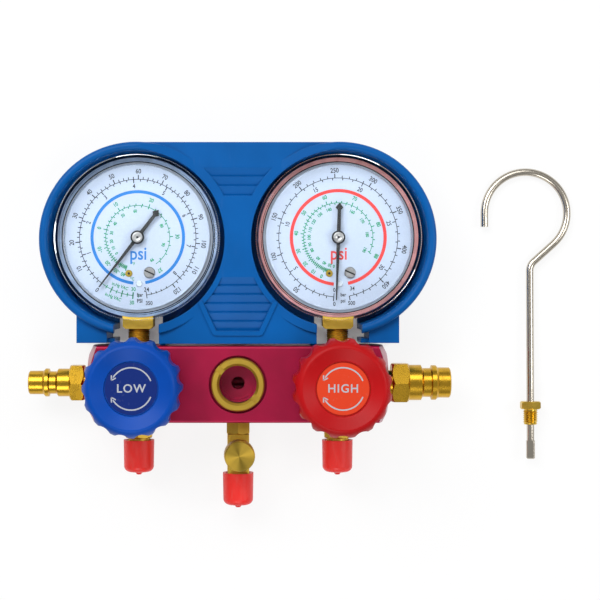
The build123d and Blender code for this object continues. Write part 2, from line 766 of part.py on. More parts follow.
def build_cover():
    """One moulded shell: two gauge cups, the louvred middle panel and the two side legs."""
    outer = cup_r + cover_wall
    wall_top = cover_top - rim_w + cover_wall
    front = block_h
    cup_spots = ((-valve_x, cup_y), (valve_x, cup_y))
    skirt_mid = (block_w / 2 + cup_y) / 2
    top_mid = (cup_y + wall_top) / 2
    leg_low = block_w / 2 + leg_foot_gap
    leg_mid = (leg_in + leg_out) / 2
    fade_half = skirt_half * rim_fade
    pocket = pocket_points()
    fields = ((upper_window(), cover_top - upper_flat, slat_pitch, upper_slats),
              (pocket_window(), pocket[2][1], pocket_h / pocket_slats, pocket_slats))
    with BuildPart() as cover:
        # body silhouette up to the panel's front
        with BuildSketch() as shell:
            with Locations(*cup_spots):
                Circle(outer)
            with Locations((0, top_mid)):
                Rectangle(2 * valve_x, wall_top - cup_y)
            with Locations((0, skirt_mid)):
                Rectangle(2 * skirt_half, cup_y - block_w / 2)
        extrude(shell.sketch, amount=front)
        # lip of the panel along the top
        with BuildSketch(Plane.XY.offset(front - cover_wall)) as lip:
            with Locations((0, cover_top - rim_w)):
                Rectangle(2 * valve_x, 2 * rim_w)
        extrude(lip.sketch, amount=cover_wall)
        # legs, their outer sides running up into the cups, each on a wider foot
        with BuildSketch() as legs:
            for _, side in sides:
                with Locations((side * (valve_x + leg_mid), (leg_low + cup_y) / 2)):
                    Rectangle(leg_out - leg_in, cup_y - leg_low)
        extrude(legs.sketch, amount=front - leg_drop)
        with BuildSketch() as feet:
            for _, side in sides:
                with Locations((side * (valve_x + (tab_in + leg_out) / 2), leg_low + leg_foot / 2)):
                    Rectangle(leg_out - tab_in, leg_foot)
        extrude(feet.sketch, amount=front - foot_drop)
        # rolled rim of each cup
        for x, y in cup_spots:
            with BuildSketch(upward(x, y)) as rim:
                with BuildLine():
                    l1 = Polyline((rim_z - rim_foot, outer), (rim_z - rim_foot, cup_r - rim_in),
                                  (rim_z - rim_mouth, cup_r - rim_in), (rim_z - rim_lead, cup_r))
                    l2 = ThreePointArc(l1 @ 1, (rim_z, cup_r + rim_w * rim_peak), (rim_z - rim_side, rim_r))
                    Polyline(l2 @ 1, (rim_z - rim_edge, rim_r), (rim_z - rim_under, outer), l1 @ 0)
                make_face()
            revolve(rim.sketch, axis=Axis((x, y, 0), (0, 0, 1)))
        # the rims sink into the panel towards the middle
        with BuildSketch(Plane(origin=(0, 0, 0), x_dir=(1, 0, 0), z_dir=(0, -1, 0))) as ramp:
            with BuildLine():
                Polyline((-valve_x, rim_z + ramp_over), (-fade_half, front), (fade_half, front),
                         (valve_x, rim_z + ramp_over), (valve_x, rim_z + ramp_h), (-valve_x, rim_z + ramp_h),
                         close=True)
            make_face()
        extrude(ramp.sketch, amount=-cover_top - 1, mode=Mode.SUBTRACT)
        # hollow behind the middle panel, open at the back
        with BuildSketch() as hollow:
            with Locations((0, top_mid)):
                Rectangle(2 * valve_x, wall_top - cup_y - 2 * cover_wall)
            with Locations((0, skirt_mid)):
                Rectangle(2 * (skirt_half - cover_wall), cup_y - block_w / 2 + 2 * cover_wall)
            with Locations(*cup_spots):
                Circle(outer, mode=Mode.SUBTRACT)
        extrude(hollow.sketch, amount=front - cover_wall, mode=Mode.SUBTRACT)
        # hollow legs
        with BuildSketch() as leg_hollows:
            for _, side in sides:
                with Locations((side * (valve_x + leg_mid), (leg_low + leg_foot + cup_y) / 2)):
                    Rectangle(leg_out - leg_in - 2 * cover_wall, cup_y - leg_low - leg_foot)
            with Locations(*cup_spots):
                Circle(outer, mode=Mode.SUBTRACT)
        extrude(leg_hollows.sketch, amount=front - leg_drop - cover_wall, mode=Mode.SUBTRACT)
        # slatted fields, and the raised rib round the pocket's lower half
        for window, top, pitch, count in fields:
            extrude(Plane.XY.offset(front / 2) * window, amount=front, mode=Mode.SUBTRACT)
            add(build_louvres(window, top, pitch, count))
        with BuildSketch(Plane.XY.offset(front - rib_root)) as rib:
            with BuildLine():
                Polyline(pocket[1], pocket[0], (-pocket[0][0], pocket[0][1]), (-pocket[1][0], pocket[1][1]))
                offset(amount=rib_w / 2, side=Side.LEFT, closed=False, mode=Mode.REPLACE)
            trace(line_width=rib_w)
        extrude(rib.sketch, amount=rib_root + rib_h)
        # gauge cups
        with BuildSketch(Plane.XY.offset(cover_back)) as cups:
            with Locations(*cup_spots):
                Circle(cup_r)
        extrude(cups.sketch, amount=rim_z, mode=Mode.SUBTRACT)
        # open bays for the gauges' stems
        bay_top = cup_y - lens_r + bay_over
        with BuildSketch(Plane.XY.offset(-1)) as bays:
            for _, side in sides:
                with Locations((side * (skirt_half + valve_x + tab_in) / 2, bay_top / 2)):
                    Rectangle(valve_x + tab_in - skirt_half, bay_top)
        extrude(bays.sketch, amount=rim_z + ramp_h, mode=Mode.SUBTRACT)
        # the panel's edge stops short of the block, and the hook's rod passes the top wall
        with BuildSketch(Plane.XY.offset(front - edge_gap_h)) as edge_gap:
            with Locations((0, block_w / 2)):
                Rectangle(2 * valve_x, 2 * skirt_gap)
        extrude(edge_gap.sketch, amount=edge_gap_h + rib_h, mode=Mode.SUBTRACT)
        with BuildSketch(Plane(origin=(0, wall_top + 1, 0), x_dir=(1, 0, 0), z_dir=(0, -1, 0))) as notch:
            Rectangle(rod_notch, 2 * port_z)
            with Locations((0, port_z)):
                Circle(rod_notch / 2)
        extrude(notch.sketch, amount=cover_wall + 2, mode=Mode.SUBTRACT)
    finish(cover, "gauge_cover")


# ------------------------------------------------------------------ pressure gauges
def polar(radius, degrees):
    """A point at a radius and an angle."""
    return (radius * math.cos(math.radians(degrees)), radius * math.sin(math.radians(degrees)))


def build_bourdon_tube(name, x):
    """Flattened C-shaped tube, soldered into the socket, with an ear at its free tip."""
    coil_plane = Plane(origin=(x, gauge_y, tube_low_z))
    sweep_angle = tube_start - tube_end
    with BuildPart() as tube:
        with BuildSketch(coil_plane) as coil:
            with BuildLine():
                l1 = CenterArc((0, 0), tube_r + tube_t / 2, tube_end, sweep_angle)
                l2 = CenterArc((0, 0), tube_r - tube_t / 2, tube_end, sweep_angle)
                Line(l1 @ 0, l2 @ 0)
                Line(l1 @ 1, l2 @ 1)
            make_face()
        extrude(coil.sketch, amount=tube_high_z - tube_low_z)
        fillet(tube.edges().group_by(Axis.Z)[0] + tube.edges().group_by(Axis.Z)[-1], tube_t * tube_round)
        with BuildSketch(Plane(origin=(x, gauge_y, lug_top - lug_t))) as ear:
            with BuildLine():
                Line(polar(tube_r, tube_end), lug_at)
            trace(line_width=2 * lug_r)
            with Locations(lug_at):
                Circle(lug_r)
        extrude(ear.sketch, amount=lug_t)
    finish(tube, f"{name}_gauge_bourdon_tube")
    return tube.part


def build_gauge_body(name, x):
    """Socket, case, lens, dial and the dial's fastenings: the still parts of a gauge."""
    line = upward(x, gauge_y)
    stem_line = Plane(origin=(x, block_w / 2, port_z), x_dir=(0, 1, 0), z_dir=(0, 0, 1))
    socket_foot = block_w / 2 + stem_show
    case_r = lens_r - case_wall - case_inset
    case_foot = gauge_y - case_r
    head_top = gauge_y - head_up
    bore_end = case_foot - case_bevel - block_w / 2
    bezel_z = case_front_z - bezel_t
    tube = build_bourdon_tube(name, x)
    with BuildPart() as socket:
        turn(((-port_depth, stem_r - edge_break), (-port_depth + edge_break, stem_r - seat_gap),
              (stem_show, stem_r - seat_gap)), stem_line)
        with BuildSketch(Plane.XY.offset(socket_low_z)) as square:
            with Locations((x, (socket_foot + case_foot + case_wall) / 2)):
                Rectangle(socket_w, case_foot + case_wall - socket_foot)
        extrude(square.sketch, amount=socket_high_z - socket_low_z)
        chamfer(socket.edges().filter_by(Axis.Z).group_by(Axis.Y)[0], socket_corner)
        with BuildSketch(Plane.XY.offset(socket_low_z)) as head:
            with Locations((x, (case_foot + head_top) / 2)):
                Rectangle(socket_w, head_top - case_foot)
        extrude(head.sketch, amount=head_z - socket_low_z)
        turn(((-port_depth, socket_bore), (bore_end, socket_bore)), stem_line, Mode.SUBTRACT)
        add(tube, mode=Mode.SUBTRACT)
    finish(socket, f"{name}_gauge_socket")
    with BuildPart() as case:
        turn(((case_back_z, case_r - case_bevel), (case_back_z + case_bevel, case_r),
              (case_front_z, case_r)), line)
        turn(((case_back_z + case_wall, case_r - case_wall), (bezel_z, case_r - case_wall),
              (bezel_z, dial_r - bezel_in), (case_front_z, dial_r - bezel_in)), line, Mode.SUBTRACT)
        with BuildSketch(Plane.XY.offset(socket_low_z)) as window:
            with Locations((x, case_foot)):
                Rectangle(socket_w + 2 * seat_gap, 4 * case_wall)
        extrude(window.sketch, amount=socket_high_z - socket_low_z + seat_gap, mode=Mode.SUBTRACT)
    finish(case, f"{name}_gauge_case")
    with BuildPart() as lens:
        turn(((case_front_z, lens_r - lens_step), (case_front_z + lens_foot, lens_r),
              (lens_front_z - lens_roll, lens_r), (lens_front_z, lens_r - lens_roll_in)), line)
        turn(((case_front_z, dial_r + seat_gap), (lens_front_z - lens_t, dial_r + seat_gap)),
             line, Mode.SUBTRACT)
    finish(lens, f"{name}_gauge_lens")
    with BuildPart() as dial:
        with BuildSketch(Plane(origin=(x, gauge_y, case_front_z))) as disc:
            Circle(dial_r)
            Circle(arbor_r + dial_hole_gap, mode=Mode.SUBTRACT)
            with Locations(dial_screw_at, eyelet_at):
                Circle(dial_shank_r + run_gap, mode=Mode.SUBTRACT)
        extrude(disc.sketch, amount=dial_t)
    finish(dial, f"{name}_gauge_dial")
    top = case_front_z + dial_t
    face = Plane(origin=(x, gauge_y, top))
    with BuildPart() as screws:
        for at, head_r, head_h in ((dial_screw_at, dial_screw_r, dial_screw_h),
                                   (eyelet_at, eyelet_r, eyelet_h)):
            screw_line = upward(x + at[0], gauge_y + at[1])
            turn(((case_front_z - dial_shank_len, dial_shank_r), (top, dial_shank_r), (top, head_r),
                  (top + head_h - head_edge, head_r), (top + head_h, head_r - head_edge)), screw_line)
        with BuildSketch(face.offset(dial_screw_h)) as slot:
            with Locations(dial_screw_at):
                Rectangle(2 * dial_screw_r + dial_slot_over, dial_slot_w, rotation=dial_slot_turn)
        extrude(slot.sketch, amount=-recess_deep, mode=Mode.SUBTRACT)
        with BuildSketch(face.offset(eyelet_h)) as eye:
            with Locations(eyelet_at):
                Circle(eyelet_hole_r)
        extrude(eye.sketch, amount=-recess_deep, mode=Mode.SUBTRACT)
        with BuildSketch(face) as boss:
            with Locations(boss_at):
                Circle(boss_r)
        extrude(boss.sketch, amount=boss_h, taper=boss_taper)
    finish(screws, f"{name}_dial_fastenings")


def build_movement(name, x, sector_rest):
    """Brass plates and pillars, toothed sector, link and pinion arbor behind the dial."""
    plane = Plane(origin=(x, gauge_y, head_z))
    inner_low = head_z + plate_t
    inner_high = inner_low + plate_apart
    link_low = gear_low - link_t - link_gap
    pivot_line = upward(x, gauge_y - centre_gap)
    centre = upward(x, gauge_y)
    with BuildPart() as frame:
        with BuildSketch(plane) as plate:
            with Locations(*pillars):
                Circle(pillar_r + pillar_rim)
            make_hull()
        extrude(plate.sketch, amount=plate_t)
        with BuildSketch(plane.offset(plate_t + plate_apart)) as front_plate:
            with Locations(*pillars, dial_screw_at, eyelet_at):
                Circle(pillar_r + pillar_rim)
            make_hull()
        extrude(front_plate.sketch, amount=plate_t)
        with BuildSketch(plane.offset(plate_t)) as posts:
            with Locations(*pillars):
                Circle(pillar_r)
        extrude(posts.sketch, amount=plate_apart)
        with BuildSketch(plane.offset(2 * plate_t + plate_apart)) as seats:
            with Locations(dial_screw_at, eyelet_at):
                Circle(dial_shank_r + stud_wall)
        extrude(seats.sketch, amount=case_front_z - head_z - 2 * plate_t - plate_apart)
        with BuildSketch(plane) as holes:
            Circle(arbor_r + run_gap)
            with Locations((0, -centre_gap)):
                Circle(pivot_r + run_gap)
        extrude(holes.sketch, amount=2 * plate_t + plate_apart, mode=Mode.SUBTRACT)
        with BuildSketch(Plane(origin=(x, gauge_y, case_front_z))) as taps:
            with Locations(dial_screw_at, eyelet_at):
                Circle(dial_shank_r + seat_gap)
        extrude(taps.sketch, amount=-tap_deep, mode=Mode.SUBTRACT)
    finish(frame, f"{name}_gauge_movement_frame")
    tail_at = polar(tail_r, sector_rest + 180)
    with BuildPart() as sector:
        with BuildSketch(Plane(origin=(x, gauge_y - centre_gap, gear_low))) as fan:
            wedge(sector_r - tooth_ded, sector_rest, sector_half)
            wedge(sector_r - tooth_ded - sector_rim, sector_rest, sector_half + web_spare, Mode.SUBTRACT)
            wedge(sector_r - tooth_ded - sector_rim + web_lap, sector_rest, sector_web)
            Circle(sector_hub_r)
            with BuildLine():
                Line((0, 0), tail_at)
            trace(line_width=2 * arm_r)
            with Locations(tail_at):
                Circle(arm_r)
            pitch_angle = 360 / (pinion_teeth * gear_ratio)
            for k in range(-sector_reach(), sector_reach() + 1):
                at = 90 + pitch_angle * (k + 0.5)
                if abs(at - sector_rest) < sector_half:
                    tooth(sector_r, at)
        extrude(fan.sketch, amount=sector_t)
        turn(((head_z + end_shake, pivot_r), (inner_low + run_gap, pivot_r), (inner_low + run_gap, hub_r),
              (inner_high - run_gap, hub_r), (inner_high - run_gap, pivot_r),
              (inner_high + plate_t - end_shake, pivot_r)), pivot_line)
        tail_line = upward(x + tail_at[0], gauge_y - centre_gap + tail_at[1])
        turn(((link_low - link_pin_over, pivot_r), (gear_low, pivot_r)), tail_line)
    finish(sector, f"{name}_gauge_sector_gear")
    tail_x, tail_y = tail_at[0], tail_at[1] - centre_gap
    with BuildPart() as link:
        with BuildSketch(Plane(origin=(x, gauge_y, link_low))) as bar:
            with BuildLine():
                Line((tail_x, tail_y), lug_at)
            trace(line_width=link_w)
            with Locations((tail_x, tail_y), lug_at):
                Circle(link_eye)
                Circle(pivot_r + run_gap, mode=Mode.SUBTRACT)
        extrude(bar.sketch, amount=link_t)
    finish(link, f"{name}_gauge_link")
    with BuildPart() as arbor:
        turn(((head_z + end_shake, arbor_r), (pointer_z + pointer_hub_h, arbor_r)), centre)
        with BuildSketch(Plane(origin=(x, gauge_y, gear_low - pinion_over))) as pinion:
            Circle(pinion_r - tooth_ded)
            for k in range(pinion_teeth):
                tooth(pinion_r, k * 360 / pinion_teeth - 90)
        extrude(pinion.sketch, amount=sector_t + 2 * pinion_over)
    finish(arbor, f"{name}_gauge_pinion_arbor")


def sector_reach():
    """Number of tooth pitches to look at each side of the line of centres."""
    return math.ceil(2 * sector_half * pinion_teeth * gear_ratio / 360)


def wedge(radius, middle, half_angle, mode=Mode.ADD):
    """Add a pie-shaped face with its tip at the origin to the sketch being drawn."""
    with BuildSketch(mode=Mode.PRIVATE) as pie:
        with BuildLine():
            arc = CenterArc((0, 0), radius, middle - half_angle, 2 * half_angle)
            Line((0, 0), arc @ 0)
            Line(arc @ 1, (0, 0))
        make_face()
    add(pie.sketch, mode=mode)


def tooth(pitch_r, angle):
    """Add one straight-flanked gear tooth at an angle to the sketch being drawn."""
    root_r = pitch_r - tooth_ded
    root_w = tooth_w + (tooth_w - tooth_tip) * tooth_flare * tooth_ded / tooth_add
    foot_r = root_r - tooth_root
    with BuildSketch(mode=Mode.PRIVATE) as flank:
        with BuildLine():
            Polyline((foot_r, -root_w / 2), (root_r, -root_w / 2), (pitch_r, -tooth_w / 2),
                     (pitch_r + tooth_add, -tooth_tip / 2), (pitch_r + tooth_add, tooth_tip / 2),
                     (pitch_r, tooth_w / 2), (root_r, root_w / 2), (foot_r, root_w / 2), close=True)
        make_face()
    add(flank.sketch, rotation=angle)


def build_pointer(name, x, rest):
    """Black pointer with an arrow-shaped tail, on a turned hub pressed over the arbor."""
    line = upward(x, gauge_y)
    barb_x = arrow_barb - pointer_tail
    neck_x = arrow_back - pointer_tail
    bore_r = arbor_r + seat_gap / 2
    with BuildPart() as pointer:
        with BuildSketch(Plane(origin=(x, gauge_y, pointer_z))) as blade:
            with BuildSketch(mode=Mode.PRIVATE) as shape:
                with BuildLine():
                    Polyline((0, -pointer_root), (pointer_len, -pointer_tip), (pointer_len, pointer_tip),
                             (0, pointer_root), (neck_x, pointer_neck), (barb_x, arrow_half),
                             (-pointer_tail, 0), (barb_x, -arrow_half), (neck_x, -pointer_neck), close=True)
                make_face()
            add(shape.sketch, rotation=rest)
        extrude(blade.sketch, amount=pointer_t)
        turn(((pointer_z - pointer_boss_h, pointer_boss_r), (pointer_z, pointer_boss_r),
              (pointer_z, pointer_hub_r), (pointer_z + pointer_hub_h, pointer_hub_r),
              (pointer_z + pointer_hub_top, pointer_hub_r - pointer_hub_in)), line)
        turn(((pointer_z - pointer_boss_h, bore_r), (pointer_z + pointer_hub_h, bore_r)), line,
             Mode.SUBTRACT)
    finish(pointer, f"{name}_gauge_pointer")


# ------------------------------------------------------------------ hanging hook
def hook_plane():
    """Plane of the hook: the nut's flat and the top of the loop both lie on z = 0."""
    seat = nut_hex / 2
    reach = loop_at[1] + loop_r - nut_y
    lean = math.asin((seat - rod_r) / reach)
    return Plane(origin=(0, nut_y, seat), x_dir=(1, 0, 0), z_dir=(0, math.sin(lean), math.cos(lean)))


def build_hook():
    """Bent rod with a flattened tip and the gland nut that screws into the block."""
    plane = hook_plane()
    loop = (loop_at[0], loop_at[1] - nut_y)
    shank_end = (rod_x, shank_end_y - nut_y)
    tip_top = (rod_x, -nut_hex_len - nut_thread_len - tip_start)
    towards = math.degrees(math.atan2(shank_end[1] - loop[1], shank_end[0] - loop[0]))
    touch = towards + math.degrees(math.acos(loop_r / math.dist(loop, shank_end)))
    with BuildPart() as rod:
        with BuildLine(plane) as path:
            arc = CenterArc(loop, loop_r, touch, 180 - touch)
            Line(arc @ 1, (loop[0] - loop_r, hook_mouth_y - nut_y))
            FilletPolyline(arc @ 0, shank_end, tip_top, radius=bend_r)
        wire = path.wire()
        with BuildSketch(Plane(origin=wire @ 0, z_dir=wire % 0)) as section:
            Circle(rod_r)
        sweep(section.sketch, path=wire)
        tip_base = plane.from_local_coords(Vector(*tip_top))
        with BuildSketch(Plane(origin=tip_base, x_dir=(1, 0, 0), z_dir=-plane.y_dir)) as flat:
            RectangleRounded(tip_w, tip_flat, tip_flat * tip_round)
        extrude(flat.sketch, amount=tip_len)
        chamfer(rod.edges().group_by(Axis.Y)[0], edge_break)
    finish(rod, "hook_rod")
    line = Plane(origin=plane.from_local_coords((rod_x, 0, 0)), x_dir=-plane.y_dir, z_dir=plane.z_dir)
    nut_len = nut_hex_len + nut_thread_len
    with BuildPart() as nut:
        hexagon(nut_hex, 0, nut_hex_len, line)
        turn(((nut_hex_len, nut_thread_r), (nut_len - nut_lead, nut_thread_r),
              (nut_len, nut_thread_r - nut_lead)), line)
        turn(((0, rod_r + run_gap), (nut_len, rod_r + run_gap)), line, Mode.SUBTRACT)
    finish(nut, "hook_gland_nut")


build_block()
build_sight_glass()
for side_name, side_sign in sides:
    build_valve(side_name, side_sign)
    build_hose_port(side_name, side_sign)
    build_dust_cap(side_name, downward(side_sign * valve_x), hose_hex_len + cap_clear)
build_tee()
build_dust_cap("centre", downward(0), tee_hex_len + tee_body_len)
build_nipple("low", -1, low_steps)
build_nipple("high", 1, high_steps)
build_cover()
for side_name, side_sign, pointer_rest, sector_rest in (("low", -1, low_rest, low_sector_rest),
                                                        ("high", 1, high_rest, high_sector_rest)):
    build_gauge_body(side_name, side_sign * valve_x)
    build_movement(side_name, side_sign * valve_x, sector_rest)
    build_pointer(side_name, side_sign * valve_x, pointer_rest)
build_hook()
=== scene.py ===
"""Looks for a two-valve refrigerant manifold gauge set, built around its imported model.

All lengths are metres, and MM turns millimetres into them. The set lies on its back: +X runs from the
low side to the high side, +Y from the hose ports to the gauges and +Z out of the dials.
"""

import json
import math
from collections import namedtuple

import bmesh
import bpy
from mathutils import Matrix, Vector

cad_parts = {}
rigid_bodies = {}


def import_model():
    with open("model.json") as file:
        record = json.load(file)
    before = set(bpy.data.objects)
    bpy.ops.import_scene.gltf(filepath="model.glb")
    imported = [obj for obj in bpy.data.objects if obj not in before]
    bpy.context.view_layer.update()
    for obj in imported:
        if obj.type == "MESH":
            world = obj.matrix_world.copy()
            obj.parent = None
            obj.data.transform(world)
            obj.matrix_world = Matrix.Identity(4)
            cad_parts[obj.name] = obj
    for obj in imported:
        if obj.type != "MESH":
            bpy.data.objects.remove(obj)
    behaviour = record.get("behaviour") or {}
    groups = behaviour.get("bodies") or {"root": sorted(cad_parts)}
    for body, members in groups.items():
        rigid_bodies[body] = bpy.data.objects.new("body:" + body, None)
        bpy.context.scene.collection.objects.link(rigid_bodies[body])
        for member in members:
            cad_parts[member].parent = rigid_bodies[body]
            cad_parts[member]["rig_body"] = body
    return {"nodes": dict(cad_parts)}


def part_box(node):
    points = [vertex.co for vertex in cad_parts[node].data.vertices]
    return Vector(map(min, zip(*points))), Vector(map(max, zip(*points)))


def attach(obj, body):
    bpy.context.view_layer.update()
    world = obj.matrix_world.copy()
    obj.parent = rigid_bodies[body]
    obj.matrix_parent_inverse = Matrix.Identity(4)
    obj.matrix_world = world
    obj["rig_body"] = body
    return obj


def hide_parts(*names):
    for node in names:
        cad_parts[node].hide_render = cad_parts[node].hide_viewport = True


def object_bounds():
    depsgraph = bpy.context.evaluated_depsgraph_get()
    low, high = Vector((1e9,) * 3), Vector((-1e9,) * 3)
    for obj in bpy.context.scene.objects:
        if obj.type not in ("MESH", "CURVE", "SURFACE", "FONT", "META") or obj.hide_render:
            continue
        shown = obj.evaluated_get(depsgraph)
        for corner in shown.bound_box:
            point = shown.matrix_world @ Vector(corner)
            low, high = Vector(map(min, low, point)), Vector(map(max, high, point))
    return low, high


bl_info = {
    "name": "Manifold gauge looks",
    "version": (1, 0, 0),
    "blender": (4, 5, 0),
    "location": "View3D > Sidebar > Manifold",
    "description": "Finishes, dial print, threads, labels and stage for a manifold gauge set",
    "category": "Object",
}

MM = 0.001
ROOT = "manifold"
SIDES = ("low", "high")

# the tee's branch: a point on its axis, in millimetres, and its direction
BRANCH_LEAN = math.radians(2.7)
BRANCH_FOOT = (0.0, -32.0, 15.0)
BRANCH_AXIS = (math.sin(BRANCH_LEAN), 0.0, math.cos(BRANCH_LEAN))
# the hook's gland nut: the outer face of its hexagon, in millimetres, and its direction
NUT_FOOT = (137.6, -9.6, 4.42)
NUT_AXIS = (0.0, -0.999696, 0.024654)
# a dial's screw, eyelet and stud from the dial's middle, the depth of the recesses in the first two and
# the radius that holds each, in millimetres
SCREW = (5.4, -16.1, 0.0)
SCREW_SLOT_ANGLE = -25.0
EYELET = (-4.1, -16.5, 0.0)
STUD = (0.7, -21.2, 0.0)
RECESS = 0.5
FASTENING_R = 2.2
# the block's turned ends: the flat disc's radius and the cone's run for each unit of rise, and the
# radius of the recess under the sight glass, whose floor is darkened as painted shade, in millimetres
END_DISC_R = 14.2
END_SLOPE = 0.5
WELL_R = 9.2
# height of the block's port axis, and how far print floats over its ground, in millimetres
PORT_HEIGHT = 15.0
PRINT_LIFT = 0.004
# round a dial, the distances from its edge at which the pale ring, a painted reflection of the lens's
# inner wall, and the dark joint end and the darker edge, painted shade, starts, in millimetres
RING_ENDS = (1.25, 1.7, 3.1)

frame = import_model()
cad_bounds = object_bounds()


def middle(node):
    """Centre of a node's box."""
    low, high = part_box(node)
    return (low + high) / 2


def top_of(node):
    """Highest z of a node."""
    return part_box(node)[1].z


# ------------------------------------------------------------------ sizes and colours
def length(name, about, default):
    """A length property whose default is given in millimetres."""
    return bpy.props.FloatProperty(name=name, description=about, default=default * MM, unit="LENGTH",
                                   precision=5)


def colour(name, about, default):
    """A linear colour property."""
    return bpy.props.FloatVectorProperty(name=name, description=about, default=default, subtype="COLOR",
                                         size=3, min=0.0, max=1.0)


class ManifoldSizes(bpy.types.PropertyGroup):
    """Sizes of the printed, cut and knurled details."""

    ink: length("Ink", "Thickness of printed lines and numbers", 0.03)
    scale_line: length("Scale line", "Width of a dial's scale arc", 0.3)
    tick_width: length("Tick width", "Width of a dial's tick", 0.38)
    letter_weight: length("Letter weight", "Thickening of the dial's letters", 0.05)
    pipe_pitch: length("Pipe pitch", "Pitch of the gauge stems' pipe thread", 0.94)
    flare_pitch: length("Flare pitch", "Pitch of the hose flares' thread", 1.27)
    gland_pitch: length("Gland pitch", "Pitch of the hook gland nut's thread", 1.0)
    rib_height: length("Rib height", "Height of the ribs round the lens bands", 0.22)
    band_ribs: bpy.props.IntProperty(name="Band ribs", description="Ribs round one lens band", default=220)
    cap_ribs: bpy.props.IntProperty(name="Cap ribs", description="Ribs round the service cap", default=64)


class ManifoldColours(bpy.types.PropertyGroup):
    """Colours of the finishes."""

    cover: colour("Cover", "Moulded cover", (0.0, 0.092, 0.34))
    block: colour("Block", "Anodised block", (0.38, 0.001, 0.045))
    bare: colour("Turned ends", "Freshly turned ends of the block", (0.55, 0.28, 0.32))
    brass: colour("Brass", "Turned brass", (0.70, 0.47, 0.07))
    steel: colour("Steel", "Machined steel", (0.55, 0.54, 0.52))
    nickel: colour("Nickel", "Plated hook", (0.58, 0.53, 0.45))
    vinyl: colour("Vinyl", "Dust caps", (0.84, 0.020, 0.014))
    low_knob: colour("Low knob", "Low side knob", (0.0, 0.060, 0.37))
    high_knob: colour("High knob", "High side knob", (0.42, 0.004, 0.006))
    low_label: colour("Low label", "Low side label", (0.0, 0.018, 0.17))
    high_label: colour("High label", "High side label", (0.72, 0.05, 0.012))
    dial: colour("Dial", "Dial face", (0.44, 0.51, 0.62))
    low_case: colour("Low case", "Low side gauge case and its band", (0.52, 0.62, 0.78))
    high_case: colour("High case", "High side gauge case and its band", (0.95, 0.50, 0.48))
    # painted reflection: the pale ring round the dial stands in for light off the lens's inner wall
    bezel: colour("Bezel", "Pale ring round the dial", (0.52, 0.55, 0.60))
    ink_black: colour("Black ink", "Pressure scales", (0.012, 0.012, 0.016))
    ink_green: colour("Green ink", "Temperature scales", (0.0, 0.26, 0.10))
    ink_blue: colour("Blue ink", "Low dial's ring", (0.0, 0.16, 0.50))
    ink_red: colour("Red ink", "High dial's ring", (0.68, 0.035, 0.03))
    silver: colour("Silver ink", "Label print", (0.42, 0.44, 0.48))
    floor: colour("Floor", "Studio floor", (0.93, 0.93, 0.93))


# ------------------------------------------------------------------ node graphs
class Number:
    """A value socket that takes part in arithmetic."""

    def __init__(self, graph, socket):
        self.graph = graph
        self.socket = socket

    def __add__(self, other):
        return self.graph.maths("ADD", self, other)

    def __sub__(self, other):
        return self.graph.maths("SUBTRACT", self, other)

    def __rsub__(self, other):
        return self.graph.maths("SUBTRACT", other, self)

    def __mul__(self, other):
        return self.graph.maths("MULTIPLY", self, other)

    def __pow__(self, other):
        return self.graph.maths("POWER", self, other)

    def __gt__(self, other):
        return self.graph.maths("GREATER_THAN", self, other)

    def __lt__(self, other):
        return self.graph.maths("LESS_THAN", self, other)

    def __abs__(self):
        return self.graph.maths("ABSOLUTE", self)

    __radd__ = __add__
    __rmul__ = __mul__


class Graph:
    """A shader or geometry tree being built."""

    def __init__(self, tree):
        self.tree = tree

    def node(self, kind, settings=None, values=None):
        """Add a node: its settings first, then the values or links of its sockets."""
        made = self.tree.nodes.new(kind)
        for name, value in (settings or {}).items():
            setattr(made, name, value)
        for slot, value in (values or {}).items():
            self.plug(made.inputs[slot], value)
        return made

    def plug(self, socket, value):
        """Link a socket to a value's socket, or set it."""
        if isinstance(value, Number):
            value = value.socket
        if isinstance(value, bpy.types.NodeSocket):
            self.tree.links.new(value, socket)
        else:
            socket.default_value = value

    def maths(self, operation, *values):
        """A Math node as a Number."""
        made = self.node("ShaderNodeMath", {"operation": operation}, dict(enumerate(values)))
        return Number(self, made.outputs[0])


